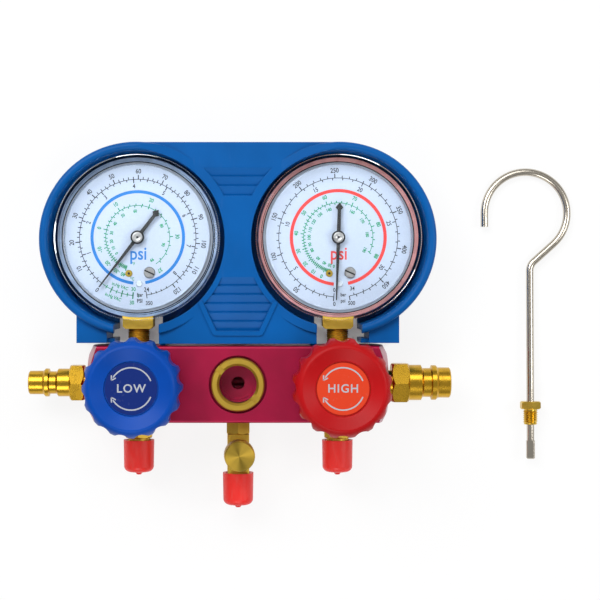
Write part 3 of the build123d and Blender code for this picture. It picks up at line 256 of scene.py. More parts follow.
class Finish(Graph):
    """One procedural material, its patterns on Object coordinates."""

    def __init__(self, name):
        self.material = bpy.data.materials.new(name)
        self.material.use_nodes = True
        super().__init__(self.material.node_tree)
        self.shader = self.tree.nodes["Principled BSDF"]
        self.out = self.tree.nodes["Material Output"]
        self.where = self.node("ShaderNodeTexCoord").outputs["Object"]

    def axes(self, centre):
        """The three Object coordinates from a point, as Numbers."""
        moved = self.node("ShaderNodeVectorMath", {"operation": "SUBTRACT"},
                          {0: self.where, 1: tuple(centre)})
        parts = self.node("ShaderNodeSeparateXYZ", None, {0: moved.outputs[0]})
        return tuple(Number(self, socket) for socket in parts.outputs)

    def noise(self, scale, detail=3.0, stretch=(1.0, 1.0, 1.0)):
        """Cloudy noise, with scale in features per metre."""
        place = self.node("ShaderNodeVectorMath", {"operation": "MULTIPLY"}, {0: self.where, 1: stretch})
        made = self.node("ShaderNodeTexNoise", None,
                         {"Vector": place.outputs[0], "Scale": scale, "Detail": detail})
        return Number(self, made.outputs["Fac"])

    def lines(self, distance, scale):
        """Noise that changes only with a distance, as tool marks do."""
        made = self.node("ShaderNodeTexNoise", {"noise_dimensions": "1D"},
                         {"W": distance, "Scale": scale, "Detail": 2.0})
        return Number(self, made.outputs["Fac"])

    def spread(self, value, low, high):
        """A value stretched so that low becomes 0 and high becomes 1."""
        made = self.node("ShaderNodeMapRange", {"clamp": True},
                         {"Value": value, "From Min": low, "From Max": high})
        return Number(self, made.outputs["Result"])

    def blend(self, amount, first, second):
        """A colour between two colours."""
        made = self.node("ShaderNodeMix", {"data_type": "RGBA"},
                         {0: amount, 6: opaque(first), 7: opaque(second)})
        return made.outputs[2]

    def relief(self, height, depth, edge=0.0):
        """Bump from a height in 0..1 over a depth, on edges that look rounded if they have a radius."""
        made = self.node("ShaderNodeBump", None, {"Strength": 1.0, "Distance": depth, "Height": height})
        if edge:
            bevel = self.node("ShaderNodeBevel", {"samples": 4}, {"Radius": edge})
            self.plug(made.inputs["Normal"], bevel.outputs[0])
        self.plug(self.shader.inputs["Normal"], made.outputs[0])

    def set(self, **sockets):
        """Set or link the shader's sockets, named with underscores."""
        for name, value in sockets.items():
            self.plug(self.shader.inputs[name.replace("_", " ").title().replace("Ior", "IOR")], value)
        return self.material


def opaque(value):
    """A colour with its fourth channel, or a socket as it is."""
    if isinstance(value, bpy.types.NodeSocket):
        return value
    return (*tuple(value)[:3], 1.0)


def shade(value, factor):
    """A lighter or darker colour."""
    return tuple(min(1.0, channel * factor) for channel in tuple(value)[:3])


def radius_of(one, other):
    """Distance from an axis, from two coordinates that are Numbers."""
    return (one * one + other * other) ** 0.5


# ------------------------------------------------------------------ finishes
def moulded_plastic(name, base, roughness, edge=0.0, coat=0.0):
    """Injection-moulded plastic: faint flow clouds, a fine skin and rubbed, lighter patches."""
    finish = Finish(name)
    cloud = finish.spread(finish.noise(45.0), 0.3, 0.7)
    skin = finish.noise(2600.0, detail=2.0)
    rub = finish.spread(finish.noise(420.0, detail=5.0, stretch=(1.0, 0.25, 1.0)), 0.62, 0.8)
    tone = finish.blend(cloud, shade(base, 0.9), shade(base, 1.1))
    lighter = finish.blend(rub * 0.25, tone, tuple(0.9 * c + 0.02 for c in shade(base, 1.1)))
    finish.relief(skin, 0.02 * MM, edge)
    return finish.set(base_color=lighter, roughness=roughness + 0.1 * rub + 0.05 * skin, coat_weight=coat,
                      coat_roughness=0.12, specular_ior_level=0.14)


def turned_metal(name, base, roughness, axis, centre, depth=0.004, sheen=False):
    """Lathe-turned metal: tool rings and a little tarnish; sheen paints a highlight into the colour, lighter
    and darker wedges round the axis.
    """
    finish = Finish(name)
    parts = finish.axes(centre)
    along = parts[axis]
    one, other = (parts[k] for k in range(3) if k != axis)
    radius = radius_of(one, other)
    rings = finish.lines(along + 0.8 * radius, 5200.0)
    bands = finish.lines(along - 0.6 * radius, 900.0)
    tarnish = finish.spread(finish.noise(260.0, detail=5.0), 0.42, 0.75)
    brown = (base[0] * 0.62, base[1] * 0.5, base[2] * 0.4)
    tone = finish.blend(tarnish * 0.3, base, brown)
    if sheen:
        # painted highlight: the colour darkens outside a few wedges round the axis, standing in for the
        # radial sheen of a turned face
        angle = finish.maths("ARCTAN2", other, one)
        broad = finish.maths("SINE", angle * 2.0 + 0.7)
        narrow = finish.maths("SINE", angle * 6.0)
        painted_highlight_wedges = finish.spread(broad * 0.5 + narrow * 0.2, -0.7, 0.7)
        tone = finish.blend(painted_highlight_wedges, shade(base, 0.35), tone)
    finish.relief(rings * 0.7 + bands * 0.3, depth * MM)
    return finish.set(base_color=tone, metallic=1.0,
                      roughness=roughness + 0.1 * (rings - 0.5) + 0.12 * tarnish)


def plain_metal(name, base, roughness, stretch=(1.0, 1.0, 1.0)):
    """Cast, drawn or plated metal with fine scratches along its drawn way."""
    finish = Finish(name)
    scratch = finish.noise(2400.0, detail=4.0, stretch=stretch)
    dull = finish.spread(finish.noise(200.0, detail=4.0), 0.4, 0.75)
    tone = finish.blend(dull * 0.4, base, shade(base, 0.7))
    finish.relief(scratch, 0.003 * MM)
    uneven = roughness + 0.08 * (scratch - 0.5) + 0.1 * dull
    return finish.set(base_color=tone, metallic=1.0, roughness=uneven)


def anodised(name, base, bare):
    """Blasted and anodised bar whose turned cones and discs at both ends show through bare."""
    finish = Finish(name)
    low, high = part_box("manifold_block")
    centre = (low + high) / 2
    x, y, z = finish.axes(centre)
    half_len = (high.x - low.x) / 2
    radius = radius_of(y, z)
    past_cone = abs(x) - (half_len - END_SLOPE * (radius - END_DISC_R * MM))
    turned = past_cone > -0.15 * MM
    grain = finish.noise(5200.0, detail=2.0)
    # painted glints: lighter pink specks in the colour stand in for light glinting off the blasted face
    painted_glints = finish.spread(finish.noise(9000.0, detail=1.0), 0.58, 0.75)
    dye = finish.spread(finish.noise(70.0, detail=4.0), 0.3, 0.7)
    red = finish.blend(dye, shade(base, 0.88), shade(base, 1.12))
    painted_light_red = finish.blend(painted_glints * 0.25, red, (0.75, 0.10, 0.18))
    # painted shade: the recess under the sight glass is darkened towards half the red
    well_shade = (radius_of(x, y) < WELL_R * MM) * (z > 0.0)
    painted_light_red = finish.blend(well_shade * 0.25, painted_light_red, shade(base, 0.5))
    ring = finish.lines(radius, 3000.0)
    metal = finish.blend(ring, shade(bare, 0.8), shade(bare, 1.1))
    finish.relief(grain * (1.0 - turned) + ring * turned, 0.02 * MM)
    return finish.set(base_color=finish.blend(turned, painted_light_red, metal), metallic=0.5 + 0.4 * turned,
                      roughness=0.36 + 0.12 * grain - 0.06 * turned)


def soft_vinyl(name, base):
    """Dip-moulded vinyl: soft sheen, small dimples and streaks of dust."""
    finish = Finish(name)
    dimple = finish.noise(1400.0, detail=3.0)
    dust = finish.spread(finish.noise(500.0, detail=5.0, stretch=(1.0, 0.3, 1.0)), 0.5, 0.8)
    tone = finish.blend(dust * 0.2, base, (0.78, 0.16, 0.12))
    finish.relief(dimple, 0.04 * MM)
    return finish.set(base_color=tone, roughness=0.38 + 0.2 * dust, subsurface_weight=0.08,
                      subsurface_scale=1.5 * MM)


def clear_plastic(name, tint, roughness, index):
    """Clear moulding that lets the lamps through to what lies behind it."""
    finish = Finish(name)
    scuff = finish.spread(finish.noise(900.0, detail=6.0), 0.6, 0.85)
    finish.set(base_color=opaque(tint), transmission_weight=1.0, ior=index,
               roughness=roughness + 0.03 * scuff)
    rays = finish.node("ShaderNodeLightPath")
    straight = finish.node("ShaderNodeBsdfTransparent", None, {"Color": opaque(shade(tint, 0.97))})
    both = finish.node("ShaderNodeMixShader", None, {0: rays.outputs["Is Shadow Ray"],
                                                     1: finish.shader.outputs[0], 2: straight.outputs[0]})
    finish.plug(finish.out.inputs["Surface"], both.outputs[0])
    return finish.material


def painted(name, base, roughness):
    """Flat print or paint with a slight mottle."""
    finish = Finish(name)
    mottle = finish.noise(1100.0, detail=4.0)
    tone = finish.blend(mottle, shade(base, 0.93), shade(base, 1.06))
    finish.relief(mottle, 0.008 * MM)
    return finish.set(base_color=tone, roughness=roughness + 0.1 * mottle)


def foil(name, base, centre):
    """Printed foil disc with fine circular brushing under a clear coat."""
    finish = Finish(name)
    x, y, _ = finish.axes(centre)
    radius = radius_of(x, y)
    brush = finish.lines(radius, 4200.0)
    speck = finish.spread(finish.noise(700.0, detail=5.0), 0.62, 0.8)
    tone = finish.blend(speck * 0.35, base, tuple(0.7 * c + 0.12 for c in base))
    finish.relief(brush, 0.006 * MM)
    return finish.set(base_color=tone, metallic=0.15, roughness=0.3 + 0.12 * brush, coat_weight=0.1,
                      coat_roughness=0.1, specular_ior_level=0.3)


def rubber(name):
    """Black rubber."""
    finish = Finish(name)
    grain = finish.noise(1800.0)
    finish.relief(grain, 0.03 * MM)
    tone = finish.blend(grain, (0.012, 0.012, 0.012), (0.03, 0.03, 0.03))
    return finish.set(base_color=tone, roughness=0.6 + 0.15 * grain)


def ringed_case(name, base, bezel, centre, dial_radius):
    """Case seen through the clear band: a pale ring beside the dial, a painted reflection of the lens's
    inner wall, a dark joint, then the tinted band, darker at its outer edge as painted shade.
    """
    finish = Finish(name)
    x, y, _ = finish.axes(centre)
    radius = radius_of(x, y)
    streak = finish.noise(160.0, detail=3.0)
    past_reflection, past_joint, rim_shade = (radius > dial_radius + end * MM for end in RING_ENDS)
    wave = finish.lines(radius, 1400.0)
    tint = finish.blend(streak, shade(base, 0.7), shade(base, 1.35))
    # painted shade: the band darkens towards its outer edge, where the cover's cup shades it
    outer = finish.blend(rim_shade * 0.5, tint, shade(base, 0.45))
    # painted reflection: a pale ring beside the dial for the light off the lens's inner wall
    inner = finish.blend(wave, shade(bezel, 0.85), shade(bezel, 1.2))
    joint = finish.blend(past_reflection, inner, (0.01, 0.01, 0.014))
    finish.relief(wave, 0.03 * MM)
    return finish.set(base_color=finish.blend(past_joint, joint, outer), roughness=0.22 + 0.1 * streak)


def fastened(name, steel, brass, clear, places):
    """Steel screw, brass eyelet and clear stud that share one node, told apart by place."""
    finish = Finish(name)
    scratch = finish.noise(2600.0, detail=3.0, stretch=(1.0, 0.2, 1.0))
    near = []
    for place in places:
        x, y, _ = finish.axes(place)
        near.append(radius_of(x, y) < FASTENING_R * MM)
    tone = finish.blend(scratch, shade(steel, 0.75), shade(steel, 1.1))
    tone = finish.blend(near[0], tone, brass)
    tone = finish.blend(near[1], tone, clear)
    finish.relief(scratch, 0.01 * MM)
    return finish.set(base_color=tone, metallic=1.0 - 0.9 * near[1], roughness=0.26 + 0.14 * scratch)


# ------------------------------------------------------------------ meshes
DEGREES_A_STEP = 2.0


def mesh_of(shape, name):
    """Turn a shape under construction into a mesh."""
    mesh = bpy.data.meshes.new(name)
    shape.to_mesh(mesh)
    shape.free()
    return mesh


class Pieces:
    """Collects small meshes into one."""

    def __init__(self):
        self.mesh = bmesh.new()

    def add(self, mesh, place):
        """Add a mesh moved by a matrix."""
        moved = mesh.copy()
        moved.transform(place)
        self.mesh.from_mesh(moved)
        bpy.data.meshes.remove(moved)

    def build(self, name, body, material, slot):
        """Make the piece, let it ride on a body and give it its finish."""
        bmesh.ops.recalc_face_normals(self.mesh, faces=self.mesh.faces)
        return piece_from(mesh_of(self.mesh, name), name, body, material, slot)


def piece_from(mesh, name, body, material, slot):
    """An object at the origin that rides on a body."""
    mesh.materials.clear()
    mesh.materials.append(material)
    made = bpy.data.objects.new(name, mesh)
    bpy.context.scene.collection.objects.link(made)
    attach(made, body)
    return made


def evaluated(made):
    """Plain mesh of an object with its modifiers; the object is removed."""
    bpy.context.view_layer.update()
    graph = bpy.context.evaluated_depsgraph_get()
    mesh = bpy.data.meshes.new_from_object(made.evaluated_get(graph))
    bpy.data.objects.remove(made)
    return mesh


def grown(tree, **inputs):
    """Plain mesh of a geometry tree with these inputs."""
    start = bpy.data.objects.new("start", bpy.data.meshes.new("start"))
    bpy.context.scene.collection.objects.link(start)
    modifier = start.modifiers.new("grow", "NODES")
    modifier.node_group = tree
    for item in tree.interface.items_tree:
        if item.item_type == "SOCKET" and item.in_out == "INPUT" and item.name in inputs:
            modifier[item.identifier] = inputs[item.name]
    return evaluated(start)


def geometry_tree(name, *labels):
    """An empty geometry tree with one geometry output and these inputs; Count is a whole number."""
    tree = bpy.data.node_groups.new(name, "GeometryNodeTree")
    tree.interface.new_socket("Geometry", in_out="OUTPUT", socket_type="NodeSocketGeometry")
    for label in labels:
        kind = "NodeSocketInt" if label == "Count" else "NodeSocketFloat"
        tree.interface.new_socket(label, in_out="INPUT", socket_type=kind)
    graph = Graph(tree)
    source = graph.node("NodeGroupInput")
    return tree, graph, {label: Number(graph, source.outputs[label]) for label in labels}


def close_tree(graph, geometry, material):
    """Realize the instances, set the material and join the output."""
    real = graph.node("GeometryNodeRealizeInstances", None, {0: geometry})
    done = graph.node("GeometryNodeSetMaterial", None, {"Geometry": real.outputs[0], "Material": material})
    graph.node("NodeGroupOutput", None, {0: done.outputs[0]})


def bars_tree(name, material):
    """Bars on a circle in the XY plane, each pointing outwards, for a dial's ticks."""
    tree, graph, given = geometry_tree(name, "Count", "First", "Step", "Radius", "Long", "Wide", "High")
    points = graph.node("GeometryNodeMeshLine", None, {"Count": given["Count"], "Offset": (0.0, 0.0, 0.0)})
    index = Number(graph, graph.node("GeometryNodeInputIndex").outputs[0])
    angle = given["First"] + given["Step"] * index
    place = graph.node("ShaderNodeCombineXYZ", None, {0: given["Radius"] * graph.maths("COSINE", angle),
                                                      1: given["Radius"] * graph.maths("SINE", angle)})
    turn = graph.node("ShaderNodeCombineXYZ", None, {2: angle})
    moved = graph.node("GeometryNodeSetPosition", None,
                       {"Geometry": points.outputs[0], "Position": place.outputs[0]})
    size = graph.node("ShaderNodeCombineXYZ", None, {0: given["Long"], 1: given["Wide"], 2: given["High"]})
    bar = graph.node("GeometryNodeMeshCube", None, {"Size": size.outputs[0]})
    many = graph.node("GeometryNodeInstanceOnPoints", None,
                      {"Points": moved.outputs[0], "Instance": bar.outputs[0], "Rotation": turn.outputs[0]})
    close_tree(graph, many.outputs[0], material)
    return tree


def ribs_tree(name, material):
    """Rounded upright ribs on a circle, for knurled edges."""
    tree, graph, given = geometry_tree(name, "Count", "Radius", "Rib", "High")
    circle = graph.node("GeometryNodeMeshCircle", None,
                        {"Vertices": given["Count"], "Radius": given["Radius"]})
    post = graph.node("GeometryNodeMeshCylinder", None,
                      {"Vertices": 8, "Radius": given["Rib"], "Depth": given["High"]})
    many = graph.node("GeometryNodeInstanceOnPoints", None,
                      {"Points": circle.outputs[0], "Instance": post.outputs["Mesh"]})
    close_tree(graph, many.outputs[0], material)
    return tree


def ridge_tree(name, material):
    """A helical vee ridge round the Z axis, its crest outwards and its root on the given radius."""
    tree, graph, given = geometry_tree(name, "Radius", "Turns", "Pitch", "Depth")
    path = graph.node("GeometryNodeCurveSpiral", None,
                      {"Resolution": 48, "Rotations": given["Turns"], "Start Radius": given["Radius"],
                       "End Radius": given["Radius"], "Height": given["Turns"] * given["Pitch"]})
    level = graph.node("GeometryNodeSetCurveNormal", {"mode": "Z_UP"}, {"Curve": path.outputs[0]})
    vee = graph.node("GeometryNodeCurvePrimitiveCircle", None, {"Resolution": 4, "Radius": given["Depth"]})
    tool = graph.node("GeometryNodeCurveToMesh", None,
                      {"Curve": level.outputs[0], "Profile Curve": vee.outputs[0], "Fill Caps": True})
    close_tree(graph, tool.outputs[0], material)
    return tree


def flat_arc(radius, width, start, end, thick):
    """A flat printed arc round the origin, from a start angle to an end angle in degrees."""
    steps = max(2, int(abs(end - start) / DEGREES_A_STEP))
    shape = bmesh.new()
    rows = []
    for k in range(steps + 1):
        angle = math.radians(start + (end - start) * k / steps)
        ray = Vector((math.cos(angle), math.sin(angle), 0.0))
        corners = [ray * (radius + side * width / 2) + Vector((0.0, 0.0, up * thick))
                   for side, up in ((-1, 0), (1, 0), (1, 1), (-1, 1))]
        rows.append([shape.verts.new(corner) for corner in corners])
    for before, after in zip(rows, rows[1:]):
        for k in range(4):
            shape.faces.new((before[k], before[(k + 1) % 4], after[(k + 1) % 4], after[k]))
    shape.faces.new(rows[0])
    shape.faces.new(reversed(rows[-1]))
    return mesh_of(shape, "arc")


def lettering(words, size, thick, squeeze=0.86, heavy=0.0, spacing=1.0):
    """Mesh of a short word or number, centred on the origin."""
    text = bpy.data.curves.new("words", "FONT")
    text.body = words
    text.size = size
    text.align_x = "CENTER"
    text.align_y = "CENTER"
    text.extrude = thick / 2
    text.offset = heavy
    text.space_character = spacing
    text.resolution_u = 3
    made = bpy.data.objects.new("words", text)
    bpy.context.scene.collection.objects.link(made)
    mesh = evaluated(made)
    bpy.data.curves.remove(text)
    mesh.transform(Matrix.Translation((0.0, 0.0, thick / 2)) @ Matrix.Diagonal((squeeze, 1.0, 1.0, 1.0)))
    return mesh


# ------------------------------------------------------------------ dial rules
PSI_PER_BAR = 14.504
AIR_BAR = 1.013
# the refrigerant's vapour pressure in bar is exp(offset - slope / (celsius + shift))
VAPOUR_CURVE = (9.7516, 2076.1, 239.26)


def polar(radius, degrees):
    """A point in the plane at a radius and an angle."""
    return Vector((radius * math.cos(math.radians(degrees)), radius * math.sin(math.radians(degrees)), 0.0))


def celsius_of(fahrenheit):
    """Degrees Celsius of a temperature in Fahrenheit."""
    return (fahrenheit - 32) / 1.8


def fahrenheit_of(celsius):
    """Degrees Fahrenheit of a temperature in Celsius."""
    return celsius * 1.8 + 32


def saturation_psi(celsius):
    """Gauge pressure in psi at which the refrigerant boils at a temperature."""
    offset, slope, shift = VAPOUR_CURVE
    return (math.exp(offset - slope / (celsius + shift)) - AIR_BAR) * PSI_PER_BAR


class Dial:
    """Print of one dial, on its node's front face; lengths and sizes in millimetres."""

    def __init__(self, side, zero, per_psi, radius, sizes):
        self.zero = zero
        self.per_psi = per_psi
        self.radius = radius
        self.sizes = sizes
        centre = middle(f"{side}_gauge_dial")
        self.place = Matrix.Translation((centre.x, centre.y, top_of(f"{side}_gauge_dial") + PRINT_LIFT * MM))

    def angle(self, psi):
        """Direction of a pressure on the scale, in degrees."""
        return self.zero - self.per_psi * psi

    def boiling(self, celsius):
        """Direction of a temperature on the scale."""
        return self.angle(saturation_psi(celsius))

    def arc(self, pieces, radius, width, start, end):
        """Add an arc from one direction to another."""
        pieces.add(flat_arc(radius * MM, width, start, end, self.sizes.ink), self.place)

    def tick(self, pieces, angle, inner, outer, wide=1.0):
        """Add one tick between two radii."""
        width = self.sizes.tick_width * wide
        half = math.degrees(width / 2 / (outer * MM))
        pieces.add(flat_arc((inner + outer) / 2 * MM, (outer - inner) * MM, angle - half, angle + half,
                            self.sizes.ink), self.place)

    def ticks(self, pieces, tree, count, first, step, inner, outer, wide=1.0):
        """Add evenly spaced ticks grown by the bars tree."""
        mesh = grown(tree, Count=count, First=math.radians(first), Step=math.radians(step),
                     Radius=(inner + outer) / 2 * MM, Long=(outer - inner) * MM,
                     Wide=self.sizes.tick_width * wide, High=self.sizes.ink)
        pieces.add(mesh, self.place @ Matrix.Translation((0.0, 0.0, self.sizes.ink / 2)))

    def scale(self, pieces, tree, step, last, reach, wide=1.0):
        """Add ticks from zero to the last pressure; a negative reach points inwards."""
        inner, outer = sorted((self.radius, self.radius + reach))
        self.ticks(pieces, tree, round(last / step) + 1, self.angle(0), -step * self.per_psi, inner, outer,
                   wide)

    def word(self, pieces, words, radius, angle, size, upright=False, inwards=False, heavy=0.0):
        """Add a word at a radius and direction, its top outwards unless said otherwise."""
        mesh = lettering(words, size * MM, self.sizes.ink, heavy=heavy * MM + self.sizes.letter_weight)
        turn = 0.0 if upright else math.radians(angle + (90.0 if inwards else -90.0))
        place = Matrix.Translation(polar(radius * MM, angle)) @ Matrix.Rotation(turn, 4, "Z")
        pieces.add(mesh, self.place @ place)

    def caption(self, pieces, words, x, y, size):
        """Add an upright word at a place measured from the dial's middle."""
        self.word(pieces, words, math.hypot(x, y), math.degrees(math.atan2(y, x)), size, upright=True)


def print_low(sizes, trees, finishes):
    """Scales of the low side dial: vacuum, pressure in two units and boiling temperature."""
    dial = Dial("low", zero=232.2, per_psi=2.379, radius=26.7, sizes=sizes)
    black, green, blue = Pieces(), Pieces(), Pieces()
    last_mark, last_end = 120, -81.3
    dial.arc(black, dial.radius, sizes.scale_line, dial.angle(0), dial.angle(last_mark))
    dial.arc(black, dial.radius, sizes.scale_line, dial.angle(last_mark), last_end)
    dial.scale(black, trees["black"], step=2, last=last_mark, reach=1.2)
    dial.scale(black, trees["black"], step=10, last=last_mark, reach=2.0, wide=1.2)
    dial.scale(black, trees["black"], step=0.2 * PSI_PER_BAR, last=8 * PSI_PER_BAR, reach=-1.0)
    dial.scale(black, trees["black"], step=PSI_PER_BAR, last=8 * PSI_PER_BAR, reach=-1.7, wide=1.2)
    for angle in (-60.0, -66.0, -71.3, -76.2):
        dial.tick(black, angle, dial.radius - 0.8, dial.radius + 0.3)
    dial.tick(black, last_end, dial.radius - 1.6, dial.radius + 1.6)
    for psi in range(0, last_mark + 1, 10):
        dial.word(black, str(psi), radius=30.3, angle=dial.angle(psi), size=3.0)
    for bar in range(1, 9):
        dial.word(black, str(bar), radius=23.5, angle=dial.angle(bar * PSI_PER_BAR), size=2.8)
    for caption in (("24", 4.0, -24.0, 2.8), ("bar", 1.0, -26.4, 2.5), ("PSI", 0.9, -29.2, 2.5),
                    ("350", 5.2, -30.2, 2.5)):
        dial.caption(black, *caption)
    print_ring(dial, blue, radius=21.0, width=1.4, start=279.5, sweep=345.0)
    print_vacuum(dial, green, trees["green"])
    print_temperatures(dial, green, radius=14.7, coldest=-40, warmest=37,
                       celsius=(-40, -30, -20, -10, 0, 10, 20, 30, 37),
                       fahrenheit=(0, 10, 20, 30, 40, 50, 60, 80, 90, 99))
    for words, radius, angle, size in (("°C", 19.3, 262.5, 2.0), ("°F", 12.3, 261.0, 1.8)):
        dial.word(green, words, radius, angle, size, upright=True)
    black.build("low_dial_pressure_print", ROOT, finishes["ink_black"], "dial_white")
    green.build("low_dial_temperature_print", ROOT, finishes["ink_green"], "dial_white")
    blue.build("low_dial_ring_print", ROOT, finishes["ink_blue"], "dial_white")


def print_vacuum(dial, pieces, tree):
    """Vacuum scale, which runs on past zero, and its words."""
    tick_step, mark_step = 5.5, 11.03
    radius = dial.radius
    dial.arc(pieces, radius, dial.sizes.scale_line, dial.zero + 0.6, dial.zero + 33.1)
    dial.ticks(pieces, tree, 7, dial.zero + tick_step, tick_step, radius - 0.9, radius + 0.9)
    dial.ticks(pieces, tree, 3, dial.zero + mark_step, mark_step, radius - 1.5, radius + 1.6, wide=1.4)
    for reach, angle in ((23.8, 250.0), (29.6, 247.5)):
        dial.word(pieces, "in.Hg VAC", reach, angle, size=2.1, inwards=True)
    for reach, angle in ((23.9, 265.2), (30.1, 264.8)):
        dial.word(pieces, "30", reach, angle, size=2.5, upright=True)


def print_high(sizes, trees, finishes):
    """Scales of the high side dial: pressure in two units and boiling temperature."""
    dial = Dial("high", zero=265.7, per_psi=0.69, radius=27.3, sizes=sizes)
    black, green, red = Pieces(), Pieces(), Pieces()
    last_mark = 500
    dial.arc(black, dial.radius, sizes.scale_line, dial.angle(0), dial.angle(last_mark))
    dial.scale(black, trees["black"], step=10, last=last_mark, reach=1.1)
    dial.scale(black, trees["black"], step=50, last=last_mark, reach=2.0, wide=1.2)
    dial.scale(black, trees["black"], step=PSI_PER_BAR, last=34 * PSI_PER_BAR, reach=-1.0)
    dial.scale(black, trees["black"], step=5 * PSI_PER_BAR, last=30 * PSI_PER_BAR, reach=-1.6)
    for psi in range(50, last_mark, 50):
        dial.word(black, str(psi), radius=30.7, angle=dial.angle(psi), size=3.0)
    for bar in range(5, 35, 5):
        dial.word(black, str(bar), radius=24.0, angle=dial.angle(bar * PSI_PER_BAR), size=2.8)
    for caption in (("0", -1.8, -30.6, 2.7), ("500", 6.1, -30.2, 2.6), ("0", -1.8, -24.2, 2.6),
                    ("34", 6.4, -23.5, 2.6), ("bar", 2.3, -26.3, 2.3), ("psi", 2.2, -29.1, 2.3)):
        dial.caption(black, *caption)
    print_ring(dial, red, radius=21.5, width=1.5, start=282.0, sweep=342.5)
    print_temperatures(dial, green, radius=15.9, coldest=-10, warmest=88,
                       celsius=(0, 10, 20, 30, 40, 50, 60, 70, 80, 88),
                       fahrenheit=(0, 20, 40, 60, 80, 90, 100, 110, 120, 130, 140, 160, 170, 180, 190))
    black.build("high_dial_pressure_print", ROOT, finishes["ink_black"], "dial_white")
    green.build("high_dial_temperature_print", ROOT, finishes["ink_green"], "dial_white")
    red.build("high_dial_ring_print", ROOT, finishes["ink_red"], "dial_white")


def print_ring(dial, pieces, radius, width, start, sweep):
    """Coloured ring with the unit inside it."""
    dial.arc(pieces, radius, width * MM, start, start + sweep)
    dial.word(pieces, "psi", radius=7.6, angle=272.0, size=8.4, upright=True, heavy=0.06)


def print_temperatures(dial, pieces, radius, coldest, warmest, celsius, fahrenheit):
    """Uneven temperature scale: Celsius outside its arc, Fahrenheit inside."""
    dial.arc(pieces, radius, dial.sizes.scale_line, dial.boiling(coldest), dial.boiling(warmest))
    short, long, wide, heavy = 0.9, 1.5, 1.2, 0.03
    for degrees in range(coldest, warmest + 1, 2):
        reach = short if degrees % 10 else long
        dial.tick(pieces, dial.boiling(degrees), radius, radius + reach, wide)
    for degrees in range(int(fahrenheit_of(coldest)), int(fahrenheit_of(warmest) + 1), 4):
        dial.tick(pieces, dial.boiling(celsius_of(degrees)), radius - short, radius, wide)
    for degrees in celsius:
        dial.word(pieces, str(degrees), radius + 3.4, dial.boiling(degrees), size=2.5, heavy=heavy)
    for degrees in fahrenheit:
        angle = dial.boiling(celsius_of(degrees))
        dial.word(pieces, str(degrees), radius - 2.6, angle, size=2.0, heavy=heavy)


# ------------------------------------------------------------------ operators
FINISHES = {}


class FinishOperator(bpy.types.Operator):
    """Give every node of the set its finish"""

    bl_idname = "manifold.finishes"
    bl_label = "Finishes"

    def execute(self, context):
        colours = context.scene.manifold_colours
        make_finishes(colours)
        for name, node in frame["nodes"].items():
            node.data.materials.clear()
            node.data.materials.append(finish_of(name))
        return {"FINISHED"}


def make_finishes(colours):
    """Build the shared finishes once, by name."""
    FINISHES.update(
        cover=moulded_plastic("cover_plastic", colours.cover, roughness=0.34, edge=0.5 * MM),
        block=anodised("anodised_block", colours.block, colours.bare),
        steel=plain_metal("steel", colours.steel, roughness=0.32),
        nickel=plain_metal("nickel", colours.nickel, roughness=0.2, stretch=(1.0, 0.05, 1.0)),
        rubber=rubber("seal_rubber"),
        glass=clear_plastic("sight_glass", (0.97, 0.98, 0.98), roughness=0.0, index=1.1),
        lens=clear_plastic("lens_plastic", (0.96, 0.98, 1.0), roughness=0.0, index=1.22),
        vinyl=soft_vinyl("cap_vinyl", colours.vinyl),
        low_knob=moulded_plastic("blue_knob", colours.low_knob, roughness=0.36, edge=0.4 * MM),
        high_knob=moulded_plastic("red_knob", colours.high_knob, roughness=0.36, edge=0.4 * MM),
        low_label=foil("blue_label", colours.low_label, middle("low_knob_label")),
        high_label=foil("red_label", colours.high_label, middle("high_knob_label")),
        dial=painted("dial_white", colours.dial, roughness=0.42),
        low_band=moulded_plastic("smoke_band", shade(colours.low_case, 0.6), roughness=0.16, coat=0.5),
        high_band=moulded_plastic("rose_band", shade(colours.high_case, 0.45), roughness=0.16, coat=0.5),
        pointer=painted("pointer_black", (0.012, 0.012, 0.013), roughness=0.5),
        seat=painted("seat_plastic", (0.82, 0.82, 0.8), roughness=0.45),
        ink_black=painted("black_ink", colours.ink_black, roughness=0.5),
        ink_green=painted("green_ink", colours.ink_green, roughness=0.5),
        ink_blue=painted("blue_ink", colours.ink_blue, roughness=0.45),
        ink_red=painted("red_ink", colours.ink_red, roughness=0.45),
        silver=painted("silver_ink", colours.silver, roughness=0.35),
        bare_brass=plain_metal("brass_plate", colours.brass, roughness=0.34),
    )
    make_gauge_finishes(colours)
    make_brasses(colours.brass)


def make_gauge_finishes(colours):
    """Finishes of each gauge's case and of its dial's fastenings."""
    clear = (0.6, 0.66, 0.72)
    for side, base in (("low", colours.low_case), ("high", colours.high_case)):
        dial_low, dial_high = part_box(f"{side}_gauge_dial")
        centre = (dial_low + dial_high) / 2
        dial_radius = (dial_high.x - dial_low.x) / 2
        FINISHES[f"{side}_case"] = ringed_case(f"{side}_case", base, colours.bezel, centre, dial_radius)
        places = (centre + Vector(EYELET) * MM, centre + Vector(STUD) * MM)
        FINISHES[f"{side}_fastenings"] = fastened(f"{side}_dial_fastenings", colours.steel, colours.brass,
                                                  clear, places)


